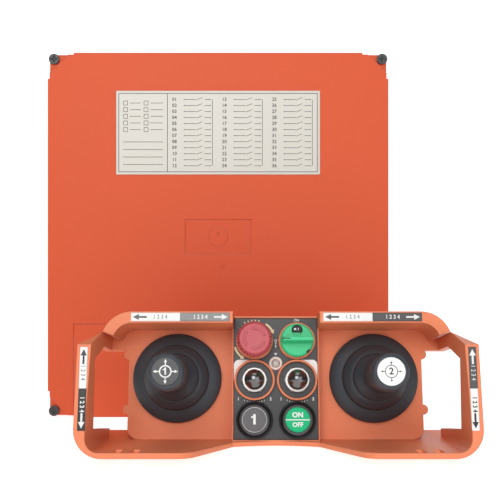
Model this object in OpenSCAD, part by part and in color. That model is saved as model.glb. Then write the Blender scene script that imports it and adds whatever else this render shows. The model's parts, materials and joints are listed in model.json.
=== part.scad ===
/* [Receiver box] */
// Width of the receiver box
rx_w = 301; // [260:1:340]
// Height of the receiver box
rx_h = 322; // [300:1:360]
// Depth of the receiver box, lid included
rx_d = 110; // [100:1:150]
// Depth of the lid alone
lid_d = 28; // [22:1:34]
// Wall thickness of the receiver box
rx_wall = 3.5; // [2.5:0.1:5]
// How far the long edges stand proud of the corners
corner_step = 1.6; // [0.8:0.1:2.4]
// Length of each stepped corner along the edge
corner_len = 23; // [18:1:30]
// Depth of that facet below the face of the lid
facet_depth = 1.8; // [1:0.1:3]
// Distance of a lid screw from the two edges
screw_edge = 5.6; // [5.2:0.1:8]
// Radius of a lid screw's head
lid_screw_head_r = 4.6; // [4:0.1:5]
// Radius of a lid screw's shank
lid_screw_r = 2; // [1.5:0.1:2.5]
// Width of the wiring label
label_w = 180; // [140:1:200]
// Height of the wiring label
label_h = 74; // [50:1:80]
// Distance of the label's upper edge below the top of the box
label_drop = 33.7; // [25:0.1:60]
// Thickness of the wiring label
label_t = 0.6; // [0.4:0.1:1]
// Width of the moulded recess in the middle of the lid
mark_w = 58.5; // [40:0.5:70]
// Height of that recess
mark_h = 30.6; // [20:0.1:34]
// Distance of its centre below the middle of the box
mark_drop = 1.6; // [0:0.1:10]
// Radius of the round boss in the recess
boss_r = 8.4; // [6:0.1:10]
// Width of the lower panel outline on the lid
field_w = 256; // [220:1:270]
// Height of the top line of that panel outline
field_top = 82.6; // [70:0.1:100]

/* [Transmitter] */
// Distance of the transmitter to the right of the receiver's middle
tx_right = 48; // [30:0.1:60]
// Distance of the deck's middle in front of the receiver's middle
tx_front = 161.7; // [155:0.1:200]
// Angle by which the transmitter leans back as it stands
lean = 10; // [8:0.5:12]
// Distance from the middle of the deck to the belly it stands on
deck_to_belly = 48.3; // [47.5:0.1:49]
// Half of the width over the two handles
handle_out = 132; // [128:0.5:140]
// Half of the width between the two handles
handle_in = 123; // [120:0.5:125]
// Height of the handles above the deck
handle_n = 78; // [74:0.5:84]
// Half of the width of the deck
deck_half = 110; // [106:0.5:112]
// Thickness of the moulded walls
tx_wall = 3; // [2:0.1:3.5]
// Height of the top guard above the deck
guard_n = 40; // [34:0.5:46]
// Depth of the lower housing below the deck
belly_depth = 75; // [70:0.5:80]

/* [Joysticks] */
// How far each joystick sits outside the middle of its half of the deck
joy_shift = 2.3; // [1:0.1:3]
// Margin between the boot's flange and the width of its half of the deck
boot_margin = 6; // [5:0.5:8]
// Height of the flat disc on top of the grip above the deck
grip_top = 82.9; // [80:0.1:86]
// Radius of the grip
grip_r = 12.3; // [11.5:0.1:13]
// Radius of the printed disc in the grip
disc_r = 9.3; // [8:0.1:10]
// Angle that each joystick tilts to either side
joy_tilt = 18; // [12:1:18]

/* [Console] */
// Half of the width of the raised console
console_half = 32; // [31.8:0.1:33]
// Height of the control panel above the deck
panel_n = 12; // [10:0.5:14]
// Distance of the two control columns from the middle
col_u = 15.6; // [15.4:0.1:15.8]
// Height of the top row of controls along the deck
row_top = 26.7; // [26.5:0.1:26.8]
// Height of the toggle row along the deck
row_mid = -2; // [-2.6:0.1:-1.4]
// Height of the button row along the deck
row_low = -30.8; // [-31.2:0.1:-30.4]
// Radius of the emergency stop head
estop_r = 13; // [12:0.1:13.6]
// Travel of the emergency stop head
estop_travel = 4; // [3:0.1:5]
// Radius of the green rotary knob
knob_r = 12.2; // [11:0.1:12.6]
// Radius of a push-button's bezel
bezel_r = 13.3; // [12.5:0.1:13.3]
// Travel of a push-button
button_travel = 3; // [2:0.1:3.5]
// Radius of a toggle's orange guard ring
toggle_ring_r = 14.8; // [14.4:0.1:14.9]

/* [Hidden] */
$fn = 64;

// Overrun of every cut past the face it opens
over = 1;
// Gap between pieces that don't touch, and the play of a running fit
clear = 0.3;
play = 0.05;
orange = [0.83, 0.40, 0.25];
shell_orange = [0.87, 0.47, 0.32];
panel_grey = [0.28, 0.28, 0.29];
rubber_black = [0.15, 0.16, 0.17];
metal = [0.75, 0.76, 0.78];

// Places along the receiver's depth
rx_front = -rx_d / 2;
rx_back = rx_d / 2;
lid_back = rx_front + lid_d;
base_front = lid_back;
lid_face_t = rx_wall;
// Column at each corner, which takes the lid screw in front and a wall bolt behind
column_side = 18;
bolt_x = rx_w / 2 - corner_step - column_side / 2;
bolt_z = rx_h / 2 - corner_step - column_side / 2;
bolt_hole_r = 2.6;
bolt_depth = 14;
screw_x = rx_w / 2 - screw_edge;
screw_z = rx_h / 2 - screw_edge;
screw_head_t = 2.6;
facet_room = 2.4;
facet_leg = 2 * screw_edge + sqrt(2) * (lid_screw_head_r + clear) + facet_room;
screw_len = 44;
slot_w = 1.1;
slot_depth = 1.2;
slot_len = 5.4;
label_z = rx_h - label_drop - label_h / 2;
mark_z = rx_h / 2 - mark_drop;
mark_depth = 0.9;
boss_proud = 0.5;
dimple_r = 1.4;
dimple_gap = 2.5;
gate_r = 2;
gate_x = 4.3;
gate_drop = 10.3;
gate_z = mark_z - mark_h / 2 - gate_drop;
gate_proud = 0.5;
line_w = 1;
line_depth = 0.6;
// Boards and parts inside the receiver
board_w_edge = 25;
board_h_edge = 41;
board_w = rx_w - 2 * board_w_edge;
board_h = rx_h - 2 * board_h_edge;
board_t = 1.6;
board_lift = 12;
board_z = rx_h / 2;
board_y = rx_back - rx_wall - board_lift;
standoff_r = 4;
standoff_edge = 12;
relay_w = 22;
relay_h = 30;
relay_d = 24;
relay_pitch = 28;
relay_count = 7;
relay_rise = 30;
relay_z = board_z + relay_rise;
relay_row = 42;
terminal_w = 110;
terminal_h = 16;
terminal_d = 18;
terminal_drop = 100;
terminal_z = board_z - terminal_drop;
terminal_x = 60;
terminal_bore_r = 2.2;
terminal_pitch = 10;
terminal_ways = 10;
core_w = 58;
core_h = 50;
core_d = 42;
coil_w = 40;
coil_h = 30;
coil_proud = 6;
core_x = -70;
core_drop = 50;
core_z = board_z - core_drop;
fuse_w = 12;
fuse_h = 30;
fuse_d = 14;
fuse_x = 20;
fuse_drop = 55;
fuse_z = board_z - fuse_drop;
fuse_pitch = 18;
fuse_count = 4;
module_w = 70;
module_h = 50;
module_d = 14;
module_x = -70;
module_rise = 88;
module_z = board_z + module_rise;
aerial_r = 2;
aerial_len = 90;
aerial_foot = 8;
aerial_x = 40;
aerial_rise = 100;
aerial_z = board_z + aerial_rise;
bung_r = 14;
bung_x = 0;
bung_y = 10;

// Frame of the transmitter, with u to the right, v up the deck and n off it
tx_z = deck_to_belly * cos(lean);
// Bottom wall, which clears the floor that the belly stands on
floor_gap = 0.3;
bottom_wall_v = deck_to_belly - floor_gap;
split_n = -12;
// Outer outline of the transmitter
guard_v = 45.1;
guard_w = 8.1;
guard_root = 9.1;
guard_in_v = guard_v - guard_w;
guard_bend_r = 22;
guard_end_share = 1.35;
guard_end = handle_out - guard_end_share * guard_bend_r;
guard_bend_v = guard_v - guard_bend_r;
bend_end = 20;
handle_drop = 27.1;
handle_top_v = guard_v - handle_drop;
handle_flare = 0.8;
handle_in_flare = 2.2;
corner_r = 18.8;
corner_in_r = 9;
rim_drop = 7.5;
rim_t = 3.8;
rim_low = -deck_to_belly - rim_drop;
rim_in = rim_low + rim_t;
corner_u = handle_out + handle_flare - corner_r;
corner_v = rim_low + corner_r;
// Deck and its walls
deck_top_v = guard_v - guard_root;
deck_low_v = -bottom_wall_v + tx_wall;
deck_corner_r = 8;
handle_t = 28;
handle_top_t = 16;
handle_low_n = handle_n - handle_t;
handle_high_n = handle_n - handle_top_t;
handle_waist = 8;
handle_back_top_v = handle_top_v - handle_waist;
wing_n = -37;
link_drop = 14.6;
link_w = 9.5;
link_v = guard_v - link_drop;
link_in_v = link_v - link_w;
link_step = 9;
frame_gap = 6;
frame_u = deck_half + frame_gap;
rim_ramp_out = 58;
rim_ramp_edge = 1;
rim_ramp_in = console_half - rim_ramp_edge;
rim_arch_r = 68;
panel_lip = 0.5;
rim_centre_n = panel_n + panel_lip;
rim_half_angle = asin(rim_ramp_in / rim_arch_r);
rim_ramp_n = rim_centre_n + rim_arch_r * (1 - cos(rim_half_angle));
rim_ramp_slope = atan((handle_n - rim_ramp_n) / (rim_ramp_out - rim_ramp_in));
rim_ramp_r = 14;
rim_ramp_end = rim_ramp_out + rim_ramp_r * tan(rim_ramp_slope / 2);
console_top_v = guard_v;
console_lip = 1.5;
console_low_v = -bottom_wall_v + console_lip;
console_wall = 2.5;
panel_t = 1.6;
panel_edge = 1;
panel_half = console_half - panel_edge;
panel_top_v = console_top_v - panel_edge - clear;
panel_low_v = console_low_v + panel_edge + clear;
lug_r = 3.8;
lug_v = [17.8, -23.3];
strap_in = 29.4;
strap_pitch = 11.7;
strap_u = [handle_in - strap_in, handle_in - strap_in + strap_pitch];
strap_w = 5.2;
strap_len = 16;
strap_edge = 10;
strap_n = handle_n - strap_edge;
// Lower housing
belly_back_drop = 12.1;
belly_back_v = guard_v - belly_back_drop;
belly_side_in = 10;
belly_side_rise = 20;
belly_side_n = belly_depth - belly_side_rise;
belly_side_step = 3;
seal_t = 1;
bay_u = 40;
bay_low_v = -22;
bay_high_v = 18;
bay_depth = 24;
cover_t = 2.5;
cover_lap = 4;
cover_screw_edge = 6;
cover_screw_u = bay_u + cover_screw_edge;
cover_edge = 7.6;
cover_half = cover_screw_u + cover_edge;
small_screw_r = 1.5;
small_head_r = 2.8;
small_head_t = 1.8;
case_screw_edge = 18;
case_screw_u = deck_half - case_screw_edge;
case_screw_v = [-30, 30];
case_screw_len = 30;
pack_u = bay_u - cover_lap;
pack_t = 18;
contact_w = 4;
contact_u = 20;
pcb_edge = 24;
pcb_u = deck_half - pcb_edge;
pcb_low_v = -30;
pcb_high_v = 28;
pcb_t = 1.6;
pcb_gap = 1.4;
pcb_n = -belly_depth + bay_depth + tx_wall + pcb_gap + pcb_t;
pillar_r = 3;
pillar_edge = 6;
pillar_u = pcb_u - pillar_edge;
pillar_v = [-24, 22];
radio_u = 34;
radio_v = 22;
radio_t = 5;
// Strips with arrows on the guard and the handles
strip_t = 0.4;
strip_v = 6.1;
strip_in_edge = 1.2;
strip_over_bend = 0.9;
strip_low_u = console_half + strip_in_edge;
strip_high_u = guard_end + strip_over_bend;
strip_side_w = 5;
strip_side_edge = 1.7;
strip_side_top = handle_top_v - strip_side_edge;
strip_side_low = corner_v - strip_side_edge / 2;
strip_side_u = (handle_out + handle_in) / 2;
// Joystick: creased boot, gimbal and stick
joy_u = (deck_half + console_half) / 2 + joy_shift;
pivot_n = -14;
boot_r = (deck_half - console_half) / 2 - boot_margin;
boot_wall = 1.6;
boot_slant_share = 1.3;
boot_in = boot_wall * boot_slant_share;
boot_flange_n = 3;
boot_crease_n = [8, 18, 28];
boot_crease_r = [24, 17.4, 11];
boot_top_n = 60;
boot_rise = 3.4;
boot_lean = 0.6;
boot_shoulder = 1.2;
base_edge = 14;
base_half = (deck_half - console_half) / 2 - base_edge;
base_wall = 3;
base_rise = 5;
base_low_n = pcb_n + base_rise;
ring_in_share = 0.36;
ring_out_share = 0.5;
ring_in = base_half * ring_in_share;
ring_out = base_half * ring_out_share;
ring_t = 8;
trunnion_r = 3;
cross_r = 2.2;
cross_half = ring_out - play;
hub_share = 0.66;
hub_r = ring_in * hub_share;
rod_r = ring_in / 2;
rod_drop = 6.9;
rod_end_n = grip_top - rod_drop;
tail_share = 0.46;
tail_n = (pivot_n - base_low_n) * tail_share;
hole_margin = 15;
joy_hole_r = -pivot_n * tan(joy_tilt) + rod_r + hole_margin;
grip_low_n = 61;
disc_t = 1.2;
grip_edge = 2.5;
// Emergency stop
estop_top_n = 32;
estop_collar_t = 3;
estop_gap = 1.5;
estop_skirt_n = panel_n + estop_collar_t + estop_travel + estop_gap;
estop_stem_r = 4;
estop_dish_r = 9.6;
estop_dish_depth = 0.9;
estop_waist_r = 9;
estop_lobes = 32;
estop_lobe_r = 0.9;
estop_core_drop = 1.5;
estop_rim = 1.3;
estop_shoulder = 2.6;
estop_pin_len = 8;
block_half = 10;
block_rise = 15;
block_low_n = pcb_n + block_rise;
button_block_rise = 26;
button_block_low_n = pcb_n + button_block_rise;
// Rotary switch
ring_r = 13.6;
ring_height = 3;
knob_height = 5;
knob_bar_n = 31;
knob_bar_w = 6;
knob_ridge_w = 2.6;
knob_edge = 1.2;
knob_stem_r = 3;
knob_notch_r = 4;
knob_notch_v = 7.3;
knob_notch_depth = 2;
// Toggles
toggle_guard_t = 4;
toggle_guard_w = 1.5;
toggle_guard_in = toggle_ring_r - toggle_guard_w;
nut_flat_r = 9.8;
nut_t = 2.4;
nut_ring_r = 8.7;
nut_ring_n = 5.4;
neck_r = 6.3;
lever_pivot_n = 9;
lever_ball_r = 7.4;
lever_rod_n = 12;
lever_rod_r = 1.8;
lever_tilt = 12;
lever_room = 1.8;
lever_bore_r = lever_rod_r + (panel_n + nut_t - lever_pivot_n) * tan(lever_tilt) + lever_room;
lever_dome_n = 7.5;
toggle_body_u = 7;
toggle_body_v = 9;
toggle_body_low = -16;
// Lamp
led_v = 10.2;
led_ring_r = 4.85;
led_ring_t = 1.2;
led_r = 3.1;
led_dome_n = 2;
// Push-buttons
bezel_t = 4.5;
cap_r = 11.1;
cap_n = 7.5;
cap_stem_r = 4;
cap_edge = 1;
insert_r = 9.1;
insert_t = 1.4;
insert_drop = 0.5;

// Points of an arc, from one angle to another
function arc(c, r, a, b, steps = 12) =
    [for (i = [0 : steps]) c + r * [cos(a + (b - a) * i / steps), sin(a + (b - a) * i / steps)]];

// Mirror a list of points across u = 0, in reverse order
function mirrored(pts) = [for (i = [len(pts) - 1 : -1 : 0]) [-pts[i][0], pts[i][1]]];

// Line of the floor in the side profile, as a place v at a height n
function floor_v(n) = -deck_to_belly - n * tan(lean);

// Put a piece that is drawn on the deck in its place
module on_deck() {
    translate([tx_right, -tx_front, tx_z]) rotate([90 - lean, 0, 0]) children();
}

// Extrude a side profile of v and n along u
module along_u(from, to) {
    translate([from, 0, 0]) rotate([90, 0, 90]) linear_extrude(to - from) children();
}

// Extrude a profile of u and n along v
module along_v(from, to) {
    translate([0, to, 0]) rotate([90, 0, 0]) linear_extrude(to - from) children();
}

// Block between two heights off the deck, half as wide as given
module slab(u_half, v_low, v_high, n_low, n_high) {
    translate([-u_half, v_low, n_low]) cube([2 * u_half, v_high - v_low, n_high - n_low]);
}

// Round bar between two heights off the deck
module post(r, n_low, n_high) {
    translate([0, 0, n_low]) cylinder(r = r, h = n_high - n_low);
}

// Both sides of the middle
module both_sides() {
    children();
    mirror([1, 0, 0]) children();
}

module at_columns() {
    for (s = [-1, 1]) translate([s * col_u, 0, 0]) children();
}

// Block on the receiver, given by its middle, size and the two faces along the depth
module rx_block(x, z, w, h, y_low, y_high) {
    translate([x - w / 2, y_low, z - h / 2]) cube([w, y_high - y_low, h]);
}

// Outline of the receiver, whose corners step in from the long edges
module rx_outline(y_low, y_high, inset = 0) {
    rx_block(0, rx_h / 2, rx_w - 2 * inset, rx_h - 2 * corner_len, y_low, y_high);
    rx_block(0, rx_h / 2, rx_w - 2 * corner_len, rx_h - 2 * inset, y_low, y_high);
    rx_block(0, rx_h / 2, rx_w - 2 * corner_step - 2 * inset, rx_h - 2 * corner_step - 2 * inset,
        y_low, y_high);
}

// Something at each of the four corners of the receiver
module rx_corners(x, z) {
    for (sx = [-1, 1], sz = [-1, 1])
        translate([sx * x, 0, rx_h / 2 + sz * z]) children();
}

// Round bar along the receiver's depth
module rx_bar(r, y_low, y_high) {
    translate([0, y_high, 0]) rotate([90, 0, 0]) cylinder(r = r, h = y_high - y_low);
}

module receiver_base() {
    color(orange) difference() {
        rx_outline(base_front, rx_back);
        difference() {
            rx_block(0, rx_h / 2, rx_w - 2 * corner_step - 2 * rx_wall,
                rx_h - 2 * corner_step - 2 * rx_wall, base_front - over, rx_back - rx_wall);
            rx_corners(bolt_x, bolt_z)
                rx_block(0, 0, column_side, column_side, base_front - 2 * over, rx_back);
        }
        rx_corners(bolt_x, bolt_z) rx_bar(bolt_hole_r, rx_back - bolt_depth, rx_back + over);
        rx_corners(screw_x, screw_z)
            rx_bar(lid_screw_r + play, base_front - over, rx_front + screw_len + over);
        translate([bung_x, bung_y, -over]) cylinder(r = bung_r, h = rx_wall + corner_step + 2 * over);
    }
}

module receiver_lid() {
    color(orange) difference() {
        union() {
            rx_outline(rx_front, lid_back - seal_t);
            translate([0, 0, mark_z]) rx_bar(boss_r, rx_front, rx_front + lid_face_t);
            translate([gate_x, 0, gate_z]) rx_bar(gate_r, rx_front - gate_proud, rx_front + over);
        }
        difference() {
            rx_block(0, rx_h / 2, rx_w - 2 * corner_step - 2 * rx_wall,
                rx_h - 2 * corner_step - 2 * rx_wall, rx_front + lid_face_t, lid_back);
            rx_corners(bolt_x, bolt_z)
                rx_block(0, 0, column_side, column_side, rx_front, lid_back + over);
        }
        rx_corners(screw_x, screw_z) rx_bar(lid_screw_r + clear, rx_front - over, lid_back + over);
        lid_facets();
        lid_marks();
    }
}

// Triangular facet that takes a screw at each corner of the lid
module lid_facets() {
    for (sx = [-1, 1], sz = [-1, 1])
        translate([0, rx_front + facet_depth, rx_h / 2]) rotate([90, 0, 0])
            linear_extrude(facet_depth + over)
                polygon([[sx * (rx_w / 2 + over), sz * (rx_h / 2 + over)],
                    [sx * (rx_w / 2 - facet_leg), sz * (rx_h / 2 + over)],
                    [sx * (rx_w / 2 + over), sz * (rx_h / 2 - facet_leg)]]);
}

// Shallow moulded recess with its round boss, and the line round the lower panel's top and sides
module lid_marks() {
    difference() {
        rx_block(0, mark_z, mark_w, mark_h, rx_front - over, rx_front + mark_depth);
        translate([0, 0, mark_z]) rx_bar(boss_r, rx_front + mark_depth - boss_proud, rx_front + lid_d);
    }
    translate([0, 0, mark_z + dimple_gap]) rx_bar(dimple_r, rx_front - over, rx_front + mark_depth);
    difference() {
        rx_block(0, (field_top - over) / 2, field_w, field_top + over,
            rx_front - over, rx_front + line_depth);
        rx_block(0, (field_top - line_w) / 2 - over, field_w - 2 * line_w,
            field_top - line_w + 2 * over, rx_front - 2 * over, rx_front + lid_d);
    }
}

module lid_gasket() {
    color("dimgray") difference() {
        rx_block(0, rx_h / 2, rx_w - 2 * corner_step - 2 * clear, rx_h - 2 * corner_step - 2 * clear,
            lid_back - seal_t, lid_back);
        rx_block(0, rx_h / 2, rx_w - 2 * corner_step - 2 * rx_wall,
            rx_h - 2 * corner_step - 2 * rx_wall, lid_back - seal_t - over, lid_back + over);
        rx_corners(screw_x, screw_z)
            rx_bar(lid_screw_r + clear, lid_back - seal_t - over, lid_back + over);
    }
}

module lid_screws() {
    color(rubber_black) rx_corners(screw_x, screw_z) difference() {
        union() {
            rx_bar(lid_screw_head_r, rx_front + facet_depth - screw_head_t, rx_front + facet_depth);
            rx_bar(lid_screw_r, rx_front, rx_front + screw_len);
        }
        for (a = [0, 90]) rotate([0, a, 0])
            rx_block(0, 0, slot_len, slot_w, rx_front + facet_depth - screw_head_t - over,
                rx_front + facet_depth - screw_head_t + slot_depth);
    }
}

module wiring_label() {
    color("ivory") rx_block(0, label_z, label_w, label_h, rx_front - label_t, rx_front);
}

module main_board() {
    color("darkgreen") rx_block(0, board_z, board_w, board_h, board_y - board_t, board_y);
}

module board_standoffs() {
    color("gainsboro") for (sx = [-1, 1], sz = [-1, 1])
        translate([sx * (board_w / 2 - standoff_edge), 0, board_z + sz * (board_h / 2 - standoff_edge)])
            rx_bar(standoff_r, board_y, rx_back - rx_wall);
}

module relay_bank() {
    color("whitesmoke") for (row = [0, 1], i = [0 : relay_count - 1])
        rx_block((i - (relay_count - 1) / 2) * relay_pitch, relay_z - row * relay_row + relay_h / 2,
            relay_w, relay_h, board_y - board_t - relay_d, board_y - board_t);
}

module terminal_blocks() {
    color("seagreen") for (s = [-1, 1]) difference() {
        rx_block(s * terminal_x, terminal_z, terminal_w, terminal_h,
            board_y - board_t - terminal_d, board_y - board_t);
        for (i = [0 : terminal_ways - 1])
            translate([s * terminal_x + (i - (terminal_ways - 1) / 2) * terminal_pitch, 0, terminal_z])
                rx_bar(terminal_bore_r, board_y - board_t - terminal_d - over,
                    board_y - board_t - terminal_d / 2);
    }
}

module power_transformer() {
    color("slategray") {
        rx_block(core_x, core_z, core_w, core_h, board_y - board_t - core_d, board_y - board_t);
        rx_block(core_x, core_z, coil_w, coil_h, board_y - board_t - core_d - coil_proud,
            board_y - board_t);
    }
}

module fuse_holders() {
    color("dimgray") for (i = [0 : fuse_count - 1])
        rx_block(fuse_x + i * fuse_pitch, fuse_z, fuse_w, fuse_h, board_y - board_t - fuse_d,
            board_y - board_t);
}

module decoder_module() {
    color("silver") rx_block(module_x, module_z, module_w, module_h,
        board_y - board_t - module_d, board_y - board_t);
}

module receiver_antenna() {
    color(rubber_black) translate([aerial_x, 0, aerial_z]) {
        rx_block(0, 0, aerial_foot, aerial_foot, board_y - board_t - aerial_foot, board_y - board_t);
        translate([0, board_y - board_t - aerial_foot / 2, 0]) rotate([0, 90, 0])
            cylinder(r = aerial_r, h = aerial_len / 2);
    }
}

module cable_bung() {
    color(rubber_black) translate([bung_x, bung_y, 0])
        cylinder(r = bung_r - play, h = rx_wall + corner_step);
}

// Outline of the transmitter as seen square on to the deck
module tx_outline() {
    half = concat([[0, rim_low]],
        arc([corner_u, corner_v], corner_r, -90, 0),
        [[handle_out, handle_top_v]],
        arc([guard_end, guard_bend_v], guard_bend_r, bend_end, 90));
    polygon(concat(half, mirrored(half)));
}

// Wall of the top guard, straight between two bent ends
module top_guard() {
    along_u(-guard_end, guard_end)
        polygon([[deck_top_v, split_n], [deck_top_v, 0], [guard_in_v, guard_n],
            [guard_v, guard_n], [guard_v, split_n]]);
    both_sides() translate([0, 0, split_n]) linear_extrude(guard_n - split_n)
        polygon(concat(arc([guard_end, guard_bend_v], guard_bend_r, bend_end, 90),
            arc([guard_end, guard_bend_v], guard_bend_r - guard_w, 90, bend_end)));
}

// Handle bar with the link that climbs to it from the end of the guard
module handle_bar() {
    both_sides() intersection() {
        along_u(handle_in, handle_out + handle_flare + over)
            polygon([[link_v, guard_n], [handle_top_v, handle_n], [rim_low, handle_n],
                [-bottom_wall_v, 0], [floor_v(split_n) + floor_gap, split_n],
                [corner_v, split_n], [corner_v, handle_low_n],
                [handle_back_top_v, handle_high_n], [link_in_v, guard_n - link_step],
                [link_in_v, split_n], [link_v, split_n]]);
        translate([0, 0, split_n]) linear_extrude(handle_n - split_n)
            polygon([[handle_in, guard_v], [handle_in, handle_top_v],
                [handle_in + handle_in_flare, corner_v], [handle_in + handle_in_flare, rim_low],
                [handle_out + handle_flare, rim_low], [handle_out + handle_flare, guard_v]]);
    }
}

// Foot that joins the link to the edge of the deck
module link_foot() {
    both_sides() slab_at(deck_half - tx_wall, handle_in + over, link_in_v, guard_in_v, split_n, 0);
}

// Block between two places along u
module slab_at(u_low, u_high, v_low, v_high, n_low, n_high) {
    translate([u_low, v_low, n_low]) cube([u_high - u_low, v_high - v_low, n_high - n_low]);
}

// Bottom wall, whose rim ramps down to a shallow arch across the console
module bottom_wall() {
    crest = arc([rim_ramp_end, handle_n - rim_ramp_r], rim_ramp_r, 90 + rim_ramp_slope, 90);
    difference() {
        union() {
            along_u(-handle_out - handle_flare, handle_out + handle_flare)
                polygon([[deck_low_v, 0], [rim_in, handle_n], [rim_low, handle_n],
                    [-bottom_wall_v, 0], [floor_v(split_n) + floor_gap, split_n],
                    [floor_v(split_n) + floor_gap + tx_wall, split_n]]);
            corner_walls();
        }
        along_v(rim_low - over, deck_low_v + over) polygon(concat(
            arc([0, rim_centre_n + rim_arch_r], rim_arch_r, -90 - rim_half_angle, -90 + rim_half_angle),
            crest, [[rim_ramp_end, handle_n + over], [-rim_ramp_end, handle_n + over]], mirrored(crest)));
        both_sides() for (u = strap_u)
            slab_at(u - strap_w / 2, u + strap_w / 2, rim_low - over, rim_in + over + tx_wall,
                strap_n - strap_len / 2, strap_n + strap_len / 2);
    }
}

// Rounded corners between the handles and the bottom wall
module corner_walls() {
    in_u = handle_in + handle_in_flare - corner_in_r;
    in_v = rim_in + corner_in_r;
    both_sides() intersection() {
        along_u(corner_u, handle_out + handle_flare)
            polygon([[rim_low, handle_n], [-bottom_wall_v, 0], [floor_v(split_n) + floor_gap, split_n],
                [corner_v, split_n], [corner_v, handle_n]]);
        translate([0, 0, split_n]) linear_extrude(handle_n - split_n)
            polygon(concat(arc([corner_u, corner_v], corner_r, -90, 0),
                [[handle_in + handle_in_flare, corner_v]],
                arc([in_u, in_v], corner_in_r, 0, -90), [[corner_u, rim_in]]));
    }
}

// Wing of the bottom wall beside the lower housing
module bottom_wing() {
    both_sides() along_u(deck_half + clear, handle_out)
        polygon([[-bottom_wall_v, 0], [floor_v(wing_n) + floor_gap, wing_n],
            [floor_v(wing_n) + floor_gap + tx_wall, wing_n], [deck_low_v, 0]]);
}

// Outline of the deck, whose lower corners are rounded where they meet the bottom wall
module deck_outline() {
    centre = [deck_half - deck_corner_r, deck_low_v + deck_corner_r];
    half = concat([[centre[0], -deck_to_belly]], arc(centre, deck_corner_r, -90, 0),
        [[deck_half, guard_v]]);
    polygon(concat(half, mirrored(half)));
}

module deck_plate() {
    intersection() {
        union() {
            difference() {
                slab(deck_half, deck_low_v - tx_wall / 2, deck_top_v + over, -tx_wall, 0);
                for (s = [-1, 1]) translate([s * joy_u, 0, 0]) post(joy_hole_r, -tx_wall - over, over);
            }
            both_sides() slab_at(deck_half - tx_wall, deck_half, deck_low_v, link_in_v + over,
                split_n, 0);
        }
        translate([0, 0, split_n]) linear_extrude(-split_n) deck_outline();
    }
    both_sides() for (v = lug_v) translate([deck_half, v, 0]) post(lug_r, split_n, 0);
}

module console_block() {
    slab(console_half, console_low_v, console_top_v, -tx_wall, panel_n + panel_lip);
}

// Everything inside the console, the panel's seat included
module console_cut() {
    slab(panel_half, panel_low_v, panel_top_v, panel_n - panel_t, guard_n + over);
    slab(console_half - console_wall, deck_low_v + console_wall, guard_in_v,
        split_n - over, panel_n);
}

// Guard, handles and bottom wall in one
module tx_frame() {
    intersection() {
        union() {
            difference() {
                top_guard();
                slab(console_half - console_wall / 2, deck_top_v - over, guard_v + over,
                    panel_n, guard_n + over);
            }
            handle_bar();
            link_foot();
            bottom_wall();
        }
        translate([0, 0, split_n]) linear_extrude(handle_n - split_n) tx_outline();
    }
    bottom_wing();
}

// Space to the right of the deck, where the right side frame is
module side_space() {
    slab_at(frame_u, handle_out + handle_flare + over, rim_low - over, guard_v + over,
        wing_n - over, handle_n + over);
}

module upper_housing() {
    color(shell_orange) on_deck() difference() {
        union() {
            difference() {
                tx_frame();
                both_sides() side_space();
            }
            deck_plate();
            console_block();
            case_bosses(split_n, -tx_wall / 2);
        }
        console_cut();
        case_screw_holes(split_n - over, -tx_wall);
    }
}

module side_frames() {
    color(shell_orange) on_deck() both_sides() intersection() {
        tx_frame();
        side_space();
    }
}

module case_bosses(n_low, n_high) {
    both_sides() for (v = case_screw_v) translate([case_screw_u, v, 0])
        post(small_head_r + tx_wall / 2, n_low, n_high);
}

module case_screw_holes(n_low, n_high) {
    both_sides() for (v = case_screw_v) translate([case_screw_u, v, 0])
        post(small_screw_r + play, n_low, n_high);
}

// Solid form of the lower housing, drawn in by a wall's thickness for its inside
module belly(inset, top_n) {
    intersection() {
        along_u(-deck_half + inset, deck_half - inset)
            polygon([[floor_v(top_n) + inset, top_n],
                [floor_v(-belly_depth) + inset, -belly_depth + inset],
                [belly_back_v - inset, -belly_depth + inset], [guard_v - inset, top_n]]);
        along_v(floor_v(0) - over, guard_v + over)
            polygon([[-deck_half + inset, top_n], [-deck_half + inset + belly_side_step, -belly_side_n],
                [-deck_half + inset + belly_side_in, -belly_depth + inset],
                [deck_half - inset - belly_side_in, -belly_depth + inset],
                [deck_half - inset - belly_side_step, -belly_side_n], [deck_half - inset, top_n]]);
    }
}

module lower_housing() {
    color(shell_orange) on_deck() difference() {
        union() {
            difference() {
                belly(0, split_n - seal_t);
                belly(tx_wall, split_n - seal_t + over);
            }
            intersection() {
                union() {
                    case_bosses(-belly_depth, split_n - seal_t);
                    battery_bay();
                }
                belly(0, split_n - seal_t);
            }
        }
        case_screw_wells();
        slab(bay_u, bay_low_v, bay_high_v, -belly_depth - over, -belly_depth + bay_depth);
        slab(cover_half, bay_low_v - cover_lap, bay_high_v + cover_lap, -belly_depth - over,
            -belly_depth + cover_t);
        both_sides() translate([cover_screw_u, 0, 0])
            post(small_screw_r + play, -belly_depth, -belly_depth + cover_t + bay_depth / 2);
    }
}

// Walls of the battery bay, open at the back
module battery_bay() {
    slab(cover_half + tx_wall, bay_low_v - cover_lap - tx_wall, bay_high_v + cover_lap + tx_wall,
        -belly_depth, -belly_depth + bay_depth + tx_wall);
}

// Holes for the screws that hold the two housings together, with their heads at the back
module case_screw_wells() {
    both_sides() for (v = case_screw_v) translate([case_screw_u, v, 0]) {
        post(small_screw_r + clear, -belly_depth - over, split_n);
        post(small_head_r + clear, -belly_depth - over, -case_screw_len + small_head_t);
    }
}

module housing_gasket() {
    color("dimgray") on_deck() difference() {
        belly_section(0);
        belly_section(tx_wall);
    }
}

// Slice of the lower housing's outline at its joint with the upper one
module belly_section(inset) {
    extra = inset > 0 ? over : 0;
    slab(deck_half - inset, floor_v(split_n - seal_t) + inset + floor_gap, guard_v - inset - floor_gap,
        split_n - seal_t - extra, split_n + extra);
}

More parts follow.
